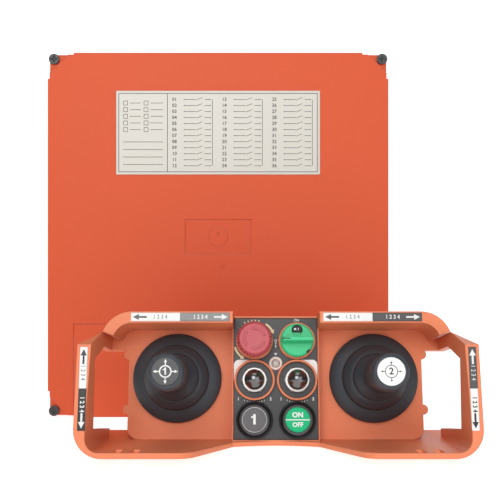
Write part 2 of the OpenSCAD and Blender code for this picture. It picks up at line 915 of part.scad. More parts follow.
module housing_screws() {
    color(metal) on_deck() both_sides() for (v = case_screw_v) translate([case_screw_u, v, 0]) {
        post(small_head_r, -case_screw_len, -case_screw_len + small_head_t);
        post(small_screw_r, -case_screw_len, -tx_wall - clear);
    }
}

module battery_cover() {
    color(shell_orange) on_deck() difference() {
        slab(cover_half - clear, bay_low_v - cover_lap + clear, bay_high_v + cover_lap - clear,
            -belly_depth, -belly_depth + cover_t);
        both_sides() translate([cover_screw_u, 0, 0])
            post(small_screw_r + clear, -belly_depth - over, -belly_depth + cover_t + over);
        both_sides() translate([cover_screw_u, 0, 0])
            post(small_head_r + clear, -belly_depth - over, -belly_depth + cover_t - small_head_t / 2);
    }
}

module battery_cover_screws() {
    color(metal) on_deck() both_sides() translate([cover_screw_u, 0, 0]) {
        post(small_head_r, -belly_depth, -belly_depth + cover_t - small_head_t / 2);
        post(small_screw_r, -belly_depth, -belly_depth + cover_t + bay_depth / 2);
    }
}

module battery_pack() {
    color("steelblue") on_deck() slab(pack_u, bay_low_v + clear, bay_high_v - clear,
        -belly_depth + cover_t, -belly_depth + cover_t + pack_t);
}

module battery_contacts() {
    color("goldenrod") on_deck() both_sides()
        slab_at(contact_u, contact_u + contact_w, bay_low_v + cover_lap, bay_high_v - cover_lap,
            -belly_depth + cover_t + pack_t, -belly_depth + bay_depth);
}

module control_board() {
    color("darkgreen") on_deck() slab(pcb_u, pcb_low_v, pcb_high_v, pcb_n - pcb_t, pcb_n);
}

module board_pillars() {
    color("gainsboro") on_deck() both_sides() for (v = pillar_v) translate([pillar_u, v, 0])
        post(pillar_r, -belly_depth + tx_wall, pcb_n - pcb_t);
}

module radio_module() {
    color("silver") on_deck() slab_at(-radio_u / 2, radio_u / 2, pcb_low_v, pcb_low_v + radio_v,
        pcb_n, pcb_n + radio_t);
}

module control_panel() {
    color(panel_grey) on_deck() difference() {
        slab(panel_half - clear / 2, panel_low_v + clear / 2, panel_top_v - clear / 2,
            panel_n - panel_t, panel_n);
        for (s = [-1, 1]) translate([s * col_u, row_top, 0])
            post(estop_stem_r + 2 * clear, 0, panel_n + over);
        at_columns() translate([0, row_mid, 0]) post(neck_r + clear, 0, panel_n + over);
        at_columns() translate([0, row_low, 0]) post(cap_stem_r + 2 * clear, 0, panel_n + over);
        translate([0, led_v, 0]) post(led_r - clear, 0, panel_n + over);
    }
}

module direction_strips() {
    color("white") on_deck() {
        both_sides() slab_at(strip_low_u, strip_high_u, guard_v - guard_w / 2 - strip_v / 2,
            guard_v - guard_w / 2 + strip_v / 2, guard_n, guard_n + strip_t);
        both_sides() slab_at(strip_side_u - strip_side_w / 2, strip_side_u + strip_side_w / 2,
            strip_side_low, strip_side_top, handle_n, handle_n + strip_t);
    }
}

// Half section of the creased boot: outside, then back along the inside
function boot_out() = concat(
    [[boot_r, 0], [boot_r, boot_flange_n], [boot_r - boot_shoulder, boot_flange_n + boot_shoulder]],
    [for (i = [0, 1]) each [
        [boot_crease_r[i], boot_crease_n[i]],
        [boot_crease_r[i] - boot_lean, boot_crease_n[i] + boot_rise],
        [boot_crease_r[i] - boot_lean - boot_shoulder, boot_crease_n[i] + boot_rise + boot_shoulder]]],
    [[boot_crease_r[2], boot_crease_n[2]], [boot_crease_r[2], boot_top_n]]);

module joystick_boot(side) {
    profile = boot_out();
    last = len(profile) - 1;
    inner = [for (i = [last : -1 : 1]) profile[i] - [boot_in, i == 1 ? boot_wall : 0]];
    color(rubber_black) on_deck() translate([side * joy_u, 0, 0]) rotate_extrude()
        polygon(concat(profile, inner, [[boot_r - boot_in, 0]]));
}

module joystick_base(side) {
    color("dimgray") on_deck() translate([side * joy_u, 0, 0]) difference() {
        slab(base_half, -base_half, base_half, base_low_n, -tx_wall);
        slab(base_half - base_wall, -base_half + base_wall, base_half - base_wall,
            base_low_n + base_wall, -tx_wall + over);
        translate([-base_half - over, 0, pivot_n]) rotate([0, 90, 0])
            cylinder(r = trunnion_r + play, h = 2 * base_half + 2 * over);
    }
}

// Ring that rocks on its trunnions and carries the stick's cross pin
module gimbal(side) {
    color(metal) on_deck() translate([side * joy_u, 0, pivot_n]) difference() {
        union() {
            slab(ring_out, -ring_out, ring_out, -ring_t / 2, ring_t / 2);
            for (s = [-1, 1]) rotate([0, s * 90, 0]) post(trunnion_r, ring_out - over,
                base_half - clear);
        }
        slab(ring_in, -ring_in, ring_in, -ring_t, ring_t);
        rotate([90, 0, 0]) post(cross_r + play, -ring_out - over, ring_out + over);
    }
}

module stick(side) {
    color(metal) on_deck() translate([side * joy_u, 0, 0]) {
        post(rod_r, pivot_n - tail_n, rod_end_n);
        translate([0, 0, pivot_n]) sphere(r = hub_r);
        translate([0, 0, pivot_n]) rotate([90, 0, 0]) post(cross_r, -cross_half, cross_half);
    }
}

module grip(side) {
    color(rubber_black) on_deck() translate([side * joy_u, 0, 0]) rotate_extrude()
        polygon([[rod_r + play, grip_low_n], [grip_r - grip_edge, grip_low_n],
            [grip_r, grip_low_n + grip_edge],
            [grip_r, grip_top - grip_edge], [grip_r - grip_edge / 2, grip_top - grip_edge / 4],
            [disc_r, grip_top], [disc_r, grip_top - disc_t],
            [0, grip_top - disc_t], [0, rod_end_n + play], [rod_r + play, rod_end_n + play]]);
}

module grip_disc(side, shade) {
    color(shade) on_deck() translate([side * joy_u, 0, 0]) post(disc_r - play, grip_top - disc_t, grip_top);
}

module estop_collar() {
    color(shell_orange) on_deck() translate([-col_u, row_top, 0]) difference() {
        post(ring_r, panel_n, panel_n + estop_collar_t);
        post(estop_stem_r + clear, panel_n - over, panel_n + estop_collar_t + over);
    }
}

module contact_block(u, v, bore, low_n) {
    on_deck() translate([u, v, 0]) difference() {
        slab(block_half, -block_half, block_half, low_n, panel_n - panel_t);
        post(bore, low_n + tx_wall, panel_n);
    }
}

module estop_block() {
    color("gainsboro") contact_block(-col_u, row_top, estop_stem_r + 2 * clear, block_low_n);
}

module estop_stem() {
    color("dimgray") on_deck() translate([-col_u, row_top, 0])
        post(estop_stem_r, panel_n - estop_pin_len, estop_skirt_n + estop_shoulder);
}

// Scalloped edge of the emergency stop head
module lobed_edge() {
    steps = 6 * estop_lobes;
    polygon([for (i = [0 : steps - 1])
        (estop_r - estop_lobe_r * (1 - abs(cos(i * 180 * estop_lobes / steps))))
            * [cos(i * 360 / steps), sin(i * 360 / steps)]]);
}

module estop_head() {
    low = estop_skirt_n + estop_shoulder;
    high = estop_top_n - estop_shoulder;
    color("firebrick") on_deck() translate([-col_u, row_top, 0]) difference() {
        union() {
            rotate_extrude()
                polygon([[0, estop_skirt_n], [estop_waist_r, estop_skirt_n],
                    [estop_r - estop_core_drop, low], [0, low]]);
            translate([0, 0, low]) linear_extrude(high - low) lobed_edge();
            translate([0, 0, high])
                linear_extrude(estop_shoulder, scale = (estop_dish_r + estop_rim) / estop_r) lobed_edge();
        }
        rotate_extrude()
            polygon([[0, estop_top_n - estop_dish_depth], [estop_dish_r, estop_top_n],
                [estop_dish_r, estop_top_n + over], [0, estop_top_n + over]]);
        post(estop_stem_r + play, estop_skirt_n - over, low);
    }
}

module rotary_ring() {
    color(shell_orange) on_deck() translate([col_u, row_top, 0]) difference() {
        post(ring_r, panel_n, panel_n + ring_height);
        post(knob_stem_r + clear, panel_n - over, panel_n + ring_height + over);
    }
}

module rotary_block() {
    color("gainsboro") contact_block(col_u, row_top, knob_stem_r + 2 * clear, block_low_n);
}

module rotary_knob() {
    knob_low = panel_n + ring_height + clear;
    color("seagreen") on_deck() translate([col_u, row_top, 0]) difference() {
        union() {
            rotate_extrude()
                polygon([[0, knob_low], [knob_r, knob_low], [knob_r, knob_low + knob_height - knob_edge],
                    [knob_r - knob_edge, knob_low + knob_height], [0, knob_low + knob_height]]);
            intersection() {
                post(knob_r - knob_edge, knob_low, knob_bar_n);
                along_u(-knob_r, knob_r)
                    polygon([[-knob_bar_w / 2, knob_low], [knob_bar_w / 2, knob_low],
                        [knob_ridge_w / 2, knob_bar_n], [-knob_ridge_w / 2, knob_bar_n]]);
            }
            post(knob_stem_r, panel_n - estop_pin_len, knob_low + over);
        }
        translate([0, knob_notch_v, 0])
            post(knob_notch_r, knob_low + knob_height - knob_notch_depth, knob_low + knob_height + over);
    }
}

module toggle_guards() {
    color(shell_orange) on_deck() at_columns() translate([0, row_mid, 0]) difference() {
        post(toggle_ring_r, panel_n, panel_n + toggle_guard_t);
        post(toggle_guard_in, panel_n - over, panel_n + toggle_guard_t + over);
    }
}

module toggle_nuts() {
    color(metal) on_deck() at_columns() translate([0, row_mid, 0]) difference() {
        union() {
            translate([0, 0, panel_n]) cylinder(r = nut_flat_r, h = nut_t, $fn = 6);
            post(nut_ring_r, panel_n, panel_n + nut_ring_n);
        }
        post(neck_r + play, panel_n - over, panel_n + nut_ring_n + over);
    }
}

module toggle_bodies() {
    color("royalblue") on_deck() at_columns() translate([0, row_mid, 0]) difference() {
        union() {
            slab(toggle_body_u, -toggle_body_v, toggle_body_v, toggle_body_low, panel_n - panel_t);
            post(neck_r, panel_n - panel_t, panel_n + nut_t);
        }
        post(lever_bore_r, lever_pivot_n - tx_wall, panel_n + lever_ball_r);
        translate([0, 0, lever_pivot_n]) rotate([90, 0, 0])
            post(lever_rod_r / 2 + play, -toggle_body_v + tx_wall / 2, toggle_body_v - tx_wall / 2);
    }
}

module toggle_lever(side) {
    color(rubber_black) on_deck() translate([side * col_u, row_mid, 0]) {
        post(lever_rod_r, lever_pivot_n - lever_rod_r / 2, panel_n + lever_rod_n);
        translate([0, 0, lever_pivot_n]) rotate([90, 0, 0])
            post(lever_rod_r / 2, -neck_r, neck_r);
        translate([0, 0, panel_n + lever_dome_n]) intersection() {
            translate([0, 0, lever_ball_r / 4]) sphere(r = lever_ball_r);
            post(lever_ball_r, 0, 2 * lever_ball_r);
        }
    }
}

module led_bezel() {
    color("ivory") on_deck() translate([0, led_v, 0]) difference() {
        post(led_ring_r, panel_n, panel_n + led_ring_t);
        post(led_r + play, panel_n - over, panel_n + led_ring_t + over);
    }
}

module led_lens() {
    color("lightgray") on_deck() translate([0, led_v, 0]) rotate_extrude()
        polygon(concat([[0, panel_n]], [[led_r, panel_n]],
            [for (i = [0 : 6]) [led_r * cos(i * 15), panel_n + led_ring_t + led_dome_n * sin(i * 15)]]));
}

module button_bezels() {
    color("dimgray") on_deck() at_columns() translate([0, row_low, 0]) difference() {
        post(bezel_r, panel_n, panel_n + bezel_t);
        post(cap_r + clear, panel_n + bezel_t - button_travel - clear, panel_n + bezel_t + over);
        post(cap_stem_r + clear, panel_n - over, panel_n + bezel_t + over);
    }
}

module button_blocks() {
    for (s = [-1, 1])
        color("gainsboro") contact_block(s * col_u, row_low, cap_stem_r + 2 * clear, button_block_low_n);
}

module button_cap(side) {
    color(panel_grey) on_deck() translate([side * col_u, row_low, 0]) {
        rotate_extrude()
            polygon([[0, panel_n + bezel_t], [cap_r, panel_n + bezel_t],
                [cap_r, panel_n + cap_n - cap_edge], [cap_r - cap_edge, panel_n + cap_n],
                [insert_r, panel_n + cap_n], [insert_r, panel_n + cap_n - insert_drop - insert_t],
                [0, panel_n + cap_n - insert_drop - insert_t]]);
        post(cap_stem_r, panel_n - button_travel, panel_n + bezel_t);
    }
}

module button_insert(side, shade) {
    color(shade) on_deck() translate([side * col_u, row_low, 0])
        post(insert_r - play, panel_n + cap_n - insert_drop - insert_t, panel_n + cap_n - insert_drop);
}

receiver_base();
receiver_lid();
lid_gasket();
lid_screws();
wiring_label();
main_board();
board_standoffs();
relay_bank();
terminal_blocks();
power_transformer();
fuse_holders();
decoder_module();
receiver_antenna();
cable_bung();
upper_housing();
side_frames();
lower_housing();
housing_gasket();
housing_screws();
control_panel();
battery_cover();
battery_cover_screws();
battery_pack();
battery_contacts();
control_board();
board_pillars();
radio_module();
direction_strips();
joystick_boot(-1);  // joystick_boot_1
joystick_boot(1);  // joystick_boot_2
joystick_base(-1);  // joystick_base_1
joystick_base(1);  // joystick_base_2
gimbal(-1);  // gimbal_1
gimbal(1);  // gimbal_2
stick(-1);  // stick_1
stick(1);  // stick_2
grip(-1);  // grip_1
grip(1);  // grip_2
grip_disc(-1, panel_grey);  // grip_disc_1
grip_disc(1, "white");  // grip_disc_2
estop_collar();
estop_block();
estop_stem();
estop_head();
rotary_ring();
rotary_block();
rotary_knob();
toggle_guards();
toggle_nuts();
toggle_bodies();
toggle_lever(-1);  // toggle_lever_1
toggle_lever(1);  // toggle_lever_2
led_bezel();
led_lens();
button_bezels();
button_blocks();
button_cap(-1);  // button_cap_1
button_cap(1);  // button_cap_2
button_insert(-1, panel_grey);  // button_insert_1
button_insert(1, "seagreen");  // button_insert_2
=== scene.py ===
import json
import math

import bmesh
import bpy
from bmesh.types import BMEdge, BMVert
from mathutils import Matrix, Vector


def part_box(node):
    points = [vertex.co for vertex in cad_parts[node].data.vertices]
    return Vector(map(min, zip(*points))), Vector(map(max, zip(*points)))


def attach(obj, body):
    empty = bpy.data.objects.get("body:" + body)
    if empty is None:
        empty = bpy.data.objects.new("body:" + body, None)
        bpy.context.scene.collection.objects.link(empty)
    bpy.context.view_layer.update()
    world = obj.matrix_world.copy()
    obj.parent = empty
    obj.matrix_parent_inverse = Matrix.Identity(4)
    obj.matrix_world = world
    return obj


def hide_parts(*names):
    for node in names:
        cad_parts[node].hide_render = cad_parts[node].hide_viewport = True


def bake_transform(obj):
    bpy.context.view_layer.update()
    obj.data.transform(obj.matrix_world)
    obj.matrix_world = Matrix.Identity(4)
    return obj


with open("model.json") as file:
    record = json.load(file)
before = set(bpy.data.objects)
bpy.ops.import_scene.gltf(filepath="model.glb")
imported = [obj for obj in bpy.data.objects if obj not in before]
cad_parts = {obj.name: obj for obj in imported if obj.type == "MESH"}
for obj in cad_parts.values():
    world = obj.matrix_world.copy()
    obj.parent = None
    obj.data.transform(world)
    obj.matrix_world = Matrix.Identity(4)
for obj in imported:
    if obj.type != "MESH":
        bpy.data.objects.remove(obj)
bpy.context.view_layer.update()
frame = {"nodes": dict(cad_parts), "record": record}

# Studio: a pale sweep that runs up behind the set, soft light from above, and a camera
# level with the upper part of the transmitter, at the photograph's viewing angle.
CAMERA_AT = Vector((0.0335, -0.7617, 0.1212))
CAMERA_LENS = 57.6
CAMERA_SENSOR = 36.0
CAMERA_SHIFT_X = -0.012
CAMERA_SHIFT_Y = 0.06
CAMERA_NEAR = 0.01
SWEEP_HALF = 5.0
SWEEP_FRONT = -3.0
SWEEP_BACK = 1.4
SWEEP_BEND = 0.8
SWEEP_RISE = 3.0
SWEEP_COLOUR = (0.95, 0.95, 0.945, 1.0)
SWEEP_TONE = (0.62, 0.62, 0.615, 1.0)
SWEEP_GLOW = 0.84
SWEEP_ROUGH = 0.9
SWEEP_STEPS = 16
ROOM_WHITE = (1, 1, 1, 1)
ROOM_GLOW = 0.10


def in_scene(thing):
    """Links a thing into the scene."""
    bpy.context.scene.collection.objects.link(thing)
    return thing


def build_camera():
    data = bpy.data.cameras.new("camera")
    data.lens = CAMERA_LENS
    data.sensor_width = CAMERA_SENSOR
    data.sensor_fit = "HORIZONTAL"
    data.shift_x = CAMERA_SHIFT_X
    data.shift_y = CAMERA_SHIFT_Y
    data.clip_start = CAMERA_NEAR
    camera = in_scene(bpy.data.objects.new("camera", data))
    camera.location = CAMERA_AT
    camera.rotation_euler = (math.radians(90), 0, 0)
    bpy.context.scene.camera = camera


def build_light(name, place, aim, size, power):
    """A square soft box of a size in metres and a power in watts, turned to its aim."""
    data = bpy.data.lights.new(name, "AREA")
    data.shape = "SQUARE"
    data.size = size
    data.energy = power
    light = in_scene(bpy.data.objects.new(name, data))
    light.location = place
    light.rotation_euler = (Vector(aim) - Vector(place)).to_track_quat("-Z", "Y").to_euler()


def set_sockets(node, values):
    """A node's own values for the sockets named."""
    for socket, value in values.items():
        node.inputs[socket].default_value = value


def new_material(name):
    """A material and its shader."""
    mat = bpy.data.materials.new(name)
    mat.use_nodes = True
    return mat, mat.node_tree.nodes["Principled BSDF"]


def smooth_by_angle(mesh, degrees):
    """Smooth faces, with the edges that turn more than this kept sharp."""
    bm = bmesh.new()
    bm.from_mesh(mesh)
    limit = math.radians(degrees)
    for edge in bm.edges:
        edge.smooth = edge.is_boundary or (edge.is_manifold and edge.calc_face_angle(0) < limit)
    for face in bm.faces:
        face.smooth = True
    bm.to_mesh(mesh)
    bm.free()


def new_object(name, bm, mats, degrees=35):
    """An object from a bmesh, with its materials."""
    mesh = bpy.data.meshes.new(name)
    bm.to_mesh(mesh)
    bm.free()
    smooth_by_angle(mesh, degrees)
    for mat in mats:
        mesh.materials.append(mat)
    return in_scene(bpy.data.objects.new(name, mesh))


def picked(geom, kind):
    """The vertices, or the edges, among what an operator made."""
    return [g for g in geom if isinstance(g, kind)]


def build_sweep():
    bm = bmesh.new()
    start = [bm.verts.new((side * SWEEP_HALF, SWEEP_FRONT, 0)) for side in (-1, 1)]
    out = bmesh.ops.extrude_edge_only(bm, edges=[bm.edges.new(start)])
    bmesh.ops.translate(bm, verts=picked(out["geom"], BMVert), vec=(0, SWEEP_BACK - SWEEP_FRONT, 0))
    out = bmesh.ops.spin(bm, geom=picked(out["geom"], BMEdge), cent=(0, SWEEP_BACK, SWEEP_BEND),
                         axis=(1, 0, 0), angle=math.radians(90), steps=SWEEP_STEPS)
    out = bmesh.ops.extrude_edge_only(bm, edges=picked(out["geom_last"], BMEdge))
    bmesh.ops.translate(bm, verts=picked(out["geom"], BMVert), vec=(0, 0, SWEEP_RISE))
    mat, shader = new_material("sweep_paper")
    set_sockets(shader, {"Base Color": SWEEP_TONE, "Emission Color": SWEEP_COLOUR,
                         "Emission Strength": SWEEP_GLOW, "Roughness": SWEEP_ROUGH})
    new_object("sweep", bm, [mat])


build_camera()
build_sweep()
build_light("key", place=(-0.30, -1.70, 0.85), aim=(0.0, -0.1, 0.15), size=1.0, power=15.5)
build_light("fill", place=(0.9, -1.6, 0.4), aim=(0.05, -0.15, 0.12), size=1.2, power=7.5)
build_light("top", place=(0.0, -0.6, 1.9), aim=(0.05, -0.15, 0.1), size=1.2, power=7)
world = bpy.data.worlds.new("studio")
world.use_nodes = True
set_sockets(world.node_tree.nodes["Background"], {"Color": ROOM_WHITE, "Strength": ROOM_GLOW})
bpy.context.scene.world = world
bpy.context.scene.view_settings.view_transform = "Standard"

# Receiver tray and lid: two deep mouldings in orange-red ABS with a fine spark-eroded
# skin, drawn from the tool with small edge radii. The skin group and the edge group made
# here, whose paler edges are partly wear and partly painted highlight, also finish the other mouldings.
RECEIVER_ORANGE = (0.640, 0.096, 0.033)
RECEIVER_DEEP = (0.590, 0.082, 0.027)
RECEIVER_EDGE = 0.0007
SKIN_SCALE = 900.0
PATCH_SCALE = 9.0
SKIN_DEPTH = 0.0002
SHEEN_SPREAD = 0.06
# Paler tone mixed in along edges: partly wear, partly painted highlight.
WORN_AND_LIT_PALE = 0.8
WORN_AND_LIT_SHARE = 0.4
FLAT_ANGLE = math.radians(0.15)
SAME_PLACE = 0.000002
CUT_MARGIN_SHARE = 0.1
OPAQUE = 1.0


def shader_group(name, inputs, outputs):
    """A new shader node group with named number inputs and named outputs."""
    tree = bpy.data.node_groups.new(name, "ShaderNodeTree")
    for label, value in inputs:
        socket = tree.interface.new_socket(label, in_out="INPUT", socket_type="NodeSocketFloat")
        socket.default_value = value
    for label in outputs:
        tree.interface.new_socket(label, in_out="OUTPUT", socket_type="NodeSocketFloat")
    return tree, tree.nodes.new("NodeGroupInput"), tree.nodes.new("NodeGroupOutput")


def add_node(tree, kind, values=None, **settings):
    """A shader node with its settings and its socket values."""
    node = tree.nodes.new("ShaderNode" + kind)
    for setting, value in settings.items():
        setattr(node, setting, value)
    set_sockets(node, values or {})
    return node


def build_skin_group():
    """Height of a moulded skin, and broad soft patches over the whole piece."""
    tree, ins, outs = shader_group("moulded_skin", [("Scale", SKIN_SCALE), ("Patch Scale", PATCH_SCALE)],
                                   ["Height", "Patches"])
    coord = add_node(tree, "TexCoord")
    fine = add_node(tree, "TexNoise", {"Detail": 2.0, "Roughness": 0.6})
    broad = add_node(tree, "TexNoise", {"Detail": 4.0})
    link = tree.links.new
    link(coord.outputs["Object"], fine.inputs["Vector"])
    link(coord.outputs["Object"], broad.inputs["Vector"])
    link(ins.outputs["Scale"], fine.inputs["Scale"])
    link(ins.outputs["Patch Scale"], broad.inputs["Scale"])
    link(fine.outputs["Fac"], outs.inputs["Height"])
    link(broad.outputs["Fac"], outs.inputs["Patches"])
    return tree


def build_wear_group():
    """Normal with rounded edges, and a mask of the paler line along them: partly wear from handling, partly
    painted highlight.
    """
    tree, ins, outs = shader_group("edge_wear_and_shine", [("Amount", 0.3), ("Radius", 0.0010), ("Scale", 90.0)],
                                   ["Worn"])
    tree.interface.new_socket("Normal", in_out="OUTPUT", socket_type="NodeSocketVector")
    coord = add_node(tree, "TexCoord")
    noise = add_node(tree, "TexNoise", {"Detail": 5.0})
    rounded = add_node(tree, "Bevel", samples=4)
    geometry = add_node(tree, "NewGeometry")
    turn = add_node(tree, "VectorMath", operation="DOT_PRODUCT")
    edge = add_node(tree, "MapRange", {"From Min": 0.99, "From Max": 0.90})
    spots = add_node(tree, "MapRange", {"From Min": 0.35, "From Max": 0.65})
    both = add_node(tree, "Math", operation="MULTIPLY")
    amount = add_node(tree, "Math", operation="MULTIPLY", use_clamp=True)
    link = tree.links.new
    link(coord.outputs["Object"], noise.inputs["Vector"])
    link(ins.outputs["Scale"], noise.inputs["Scale"])
    link(ins.outputs["Radius"], rounded.inputs["Radius"])
    link(rounded.outputs["Normal"], turn.inputs[0])
    link(geometry.outputs["Normal"], turn.inputs[1])
    link(turn.outputs["Value"], edge.inputs["Value"])
    link(noise.outputs["Fac"], spots.inputs["Value"])
    link(edge.outputs["Result"], both.inputs[0])
    link(spots.outputs["Result"], both.inputs[1])
    link(both.outputs["Value"], amount.inputs[0])
    link(ins.outputs["Amount"], amount.inputs[1])
    link(amount.outputs["Value"], outs.inputs["Worn"])
    link(rounded.outputs["Normal"], outs.inputs["Normal"])
    return tree


SKIN = build_skin_group()
WEAR_AND_SHINE = build_wear_group()


def add_tones(tree, shader, scale, deep, colour, sheens):
    """The skin, and a mix of two tones and a change of sheen that follow its patches."""
    surface = add_node(tree, "Group", {"Scale": scale}, node_tree=SKIN)
    tones = add_node(tree, "Mix", {"A": (*deep, OPAQUE), "B": (*colour, OPAQUE)}, data_type="RGBA")
    sheen = add_node(tree, "MapRange", {"To Min": sheens[0], "To Max": sheens[1]})
    tree.links.new(surface.outputs["Patches"], tones.inputs["Factor"])
    tree.links.new(surface.outputs["Patches"], sheen.inputs["Value"])
    tree.links.new(sheen.outputs["Result"], shader.inputs["Roughness"])
    return surface, tones


def moulded(name, colour, deep, rough=0.42, skin=SKIN_SCALE, bump=0.25, wear_and_shine=0.3, metallic=0.0,
            worn_and_lit=None, coat=0.0, shine=0.5):
    """Moulded plastic or rubber: two close tones in soft patches, a fine skin, and edges paled partly by wear
    and partly as painted highlight.
    """
    mat, shader = new_material(name)
    tree = mat.node_tree
    set_sockets(shader, {"Metallic": metallic, "Coat Weight": coat, "Specular IOR Level": shine})
    surface, tones = add_tones(tree, shader, skin, deep, colour, (rough - SHEEN_SPREAD, rough + SHEEN_SPREAD))
    rubbed_and_lit = add_node(tree, "Group", {"Amount": wear_and_shine}, node_tree=WEAR_AND_SHINE)
    # The edge tone is partly wear and partly painted highlight.
    pale = [(1 - WORN_AND_LIT_SHARE) * c + WORN_AND_LIT_SHARE * WORN_AND_LIT_PALE for c in colour]
    edges = add_node(tree, "Mix", {"B": (*(worn_and_lit or pale), OPAQUE)}, data_type="RGBA")
    height = add_node(tree, "Bump", {"Strength": bump, "Distance": SKIN_DEPTH})
    link = tree.links.new
    link(tones.outputs["Result"], edges.inputs["A"])
    link(rubbed_and_lit.outputs["Worn"], edges.inputs["Factor"])
    link(edges.outputs["Result"], shader.inputs["Base Color"])
    link(surface.outputs["Height"], height.inputs["Height"])
    link(rubbed_and_lit.outputs["Normal"], height.inputs["Normal"])
    link(height.outputs["Normal"], shader.inputs["Normal"])
    return mat


BODY_OF = {node: body for body, nodes in frame["record"]["behaviour"]["bodies"].items() for node in nodes}
SLOT_OF = {part["node"]: part["material_slot"] for part in frame["record"]["subparts"]}


def new_piece(name, bm, mats, body, slot, *nodes):
    """A finished piece from a bmesh: its materials, body and the nodes it stands for; the slot is not used.
    """
    piece = new_object(name, bm, mats)
    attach(piece, body)
    if nodes:
        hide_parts(*nodes)
    return piece


def flat_rims(bm):
    """For each flat region that has holes: its normal, and the points of its separate rims."""
    seen = set()
    for first in bm.faces:
        if first in seen:
            continue
        region, grow = {first}, [first]
        while grow:
            for edge in grow.pop().edges:
                if edge.is_manifold and edge.calc_face_angle(0) < FLAT_ANGLE:
                    fresh = [face for face in edge.link_faces if face not in region]
                    region.update(fresh)
                    grow += fresh
        seen |= region
        rim = {edge for face in region for edge in face.edges
               if sum(f in region for f in edge.link_faces) == 1}
        rims = []
        while rim:
            grow, points = [rim.pop()], []
            while grow:
                for vert in grow.pop().verts:
                    points.append(vert.co)
                    fresh = [edge for edge in vert.link_edges if edge in rim]
                    rim.difference_update(fresh)
                    grow += fresh
            rims.append(points)
        if len(rims) > 1:
            yield first.normal, rims


def hole_cuts(bm):
    """Axis and place of the planes that cross every hole, so that no flat face goes round another."""
    spans = []
    for normal, rims in flat_rims(bm):
        axis = 2 if abs(normal.x) > 0.7 else 0
        widths = sorted(((min(p[axis] for p in rim), max(p[axis] for p in rim)) for rim in rims),
                        key=lambda width: width[0] - width[1])
        spans += [(high, low, axis) for low, high in widths[1:]]
    cuts = []
    for high, low, axis in sorted(spans):
        margin = (high - low) * CUT_MARGIN_SHARE
        if not any(a == axis and low + margin < place < high - margin for a, place in cuts):
            cuts.append((axis, (low + high) / 2))
    return cuts


def clean_copy(mesh):
    """A bmesh of the part's own shape, with its flat faces whole and none of them hollow."""
    bm = bmesh.new()
    bm.from_mesh(mesh)
    bmesh.ops.remove_doubles(bm, verts=bm.verts, dist=SAME_PLACE)
    for axis, place in hole_cuts(bm):
        way = Vector(1.0 if i == axis else 0.0 for i in range(3))
        out = bmesh.ops.bisect_plane(bm, geom=bm.verts[:] + bm.edges[:] + bm.faces[:], dist=SAME_PLACE,
                                     plane_co=way * place, plane_no=way)
        for edge in picked(out["geom_cut"], BMEdge):
            edge.seam = True
    bmesh.ops.dissolve_limit(bm, angle_limit=FLAT_ANGLE, verts=bm.verts, edges=bm.edges,
                             delimit={"NORMAL", "SEAM"})
    return bm


def moulding(node, mat, edge=0.0006, segments=3, angle=28):
    """The node's own shape as one clean mesh, with the tool's radius on every edge."""
    bm = clean_copy(frame["nodes"][node].data)
    piece = new_piece(node + "_finished", bm, [mat], BODY_OF[node], SLOT_OF[node], node)
    return round_edges(piece, edge, segments, angle)


def round_edges(piece, edge, segments=3, angle=28):
    """The radius that the tool leaves on every edge of a piece."""
    bevel = piece.modifiers.new("edge_radius", "BEVEL")
    bevel.width = edge
    bevel.segments = segments
    bevel.limit_method = "ANGLE"
    bevel.angle_limit = math.radians(angle)
    return shade_flats(piece)


def shade_flats(piece):
    """The large flat faces lead the shading, so that they stay flat up to their edges."""
    shade = piece.modifiers.new("flat_shading", "WEIGHTED_NORMAL")
    shade.weight = 100
    shade.keep_sharp = True
    return piece


def finish_node(node, mat):
    """The node keeps its shape and gets a finished material."""
    mesh = frame["nodes"][node].data
    mesh.materials.clear()
    mesh.materials.append(mat)


receiver_plastic = moulded("receiver_plastic", RECEIVER_ORANGE, RECEIVER_DEEP, rough=0.48, shine=0.22)
moulding("receiver_base", receiver_plastic, RECEIVER_EDGE)
moulding("receiver_lid", receiver_plastic, RECEIVER_EDGE)

# Lid seal, cable bung and the four lid screws: black rubber cord in the joint, a rubber
# bung in the cable entry, and blackened screws whose cross recess is painted bright as a painted glint.
RUBBER_BLACK = (0.018, 0.019, 0.021)
RUBBER_GREY = (0.030, 0.032, 0.035)
SCREW_BLACK = (0.045, 0.043, 0.045)
SCREW_DEEP = (0.030, 0.029, 0.030)
# Bright tone of the recess: a painted glint.
SCREW_PAINTED_GLINT = (0.800, 0.790, 0.780)
SCREW_PAINTED_GLINT_DEEP = (0.640, 0.630, 0.620)
SCREW_TOP_SHARE = 0.03


def build_lid_screws():
    """Black heads; all that lies behind their front faces is steel painted bright as a painted glint."""
    bm = clean_copy(frame["nodes"]["lid_screws"].data)
    low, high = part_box("lid_screws")
    front = low.y + SCREW_TOP_SHARE * (high.y - low.y)
    for face in bm.faces:
        face.material_index = 0 if face.calc_center_median().y < front else 1
    black = moulded("screw_black", SCREW_BLACK, SCREW_DEEP, rough=0.35, skin=300.0, wear_and_shine=0.2)
    painted_glint = moulded("screw_painted_glint", SCREW_PAINTED_GLINT, SCREW_PAINTED_GLINT_DEEP, rough=0.40, skin=300.0, metallic=0.4, wear_and_shine=0.0)
    piece = new_piece("lid_screws_finished", bm, [black, painted_glint], "receiver", SLOT_OF["lid_screws"],
                      "lid_screws")
    round_edges(piece, edge=0.0004)


seal_rubber = moulded("seal_rubber", RUBBER_GREY, RUBBER_BLACK, rough=0.75, skin=500.0)
finish_node("lid_gasket", seal_rubber)
moulding("cable_bung", seal_rubber, edge=0.0005)
build_lid_screws()

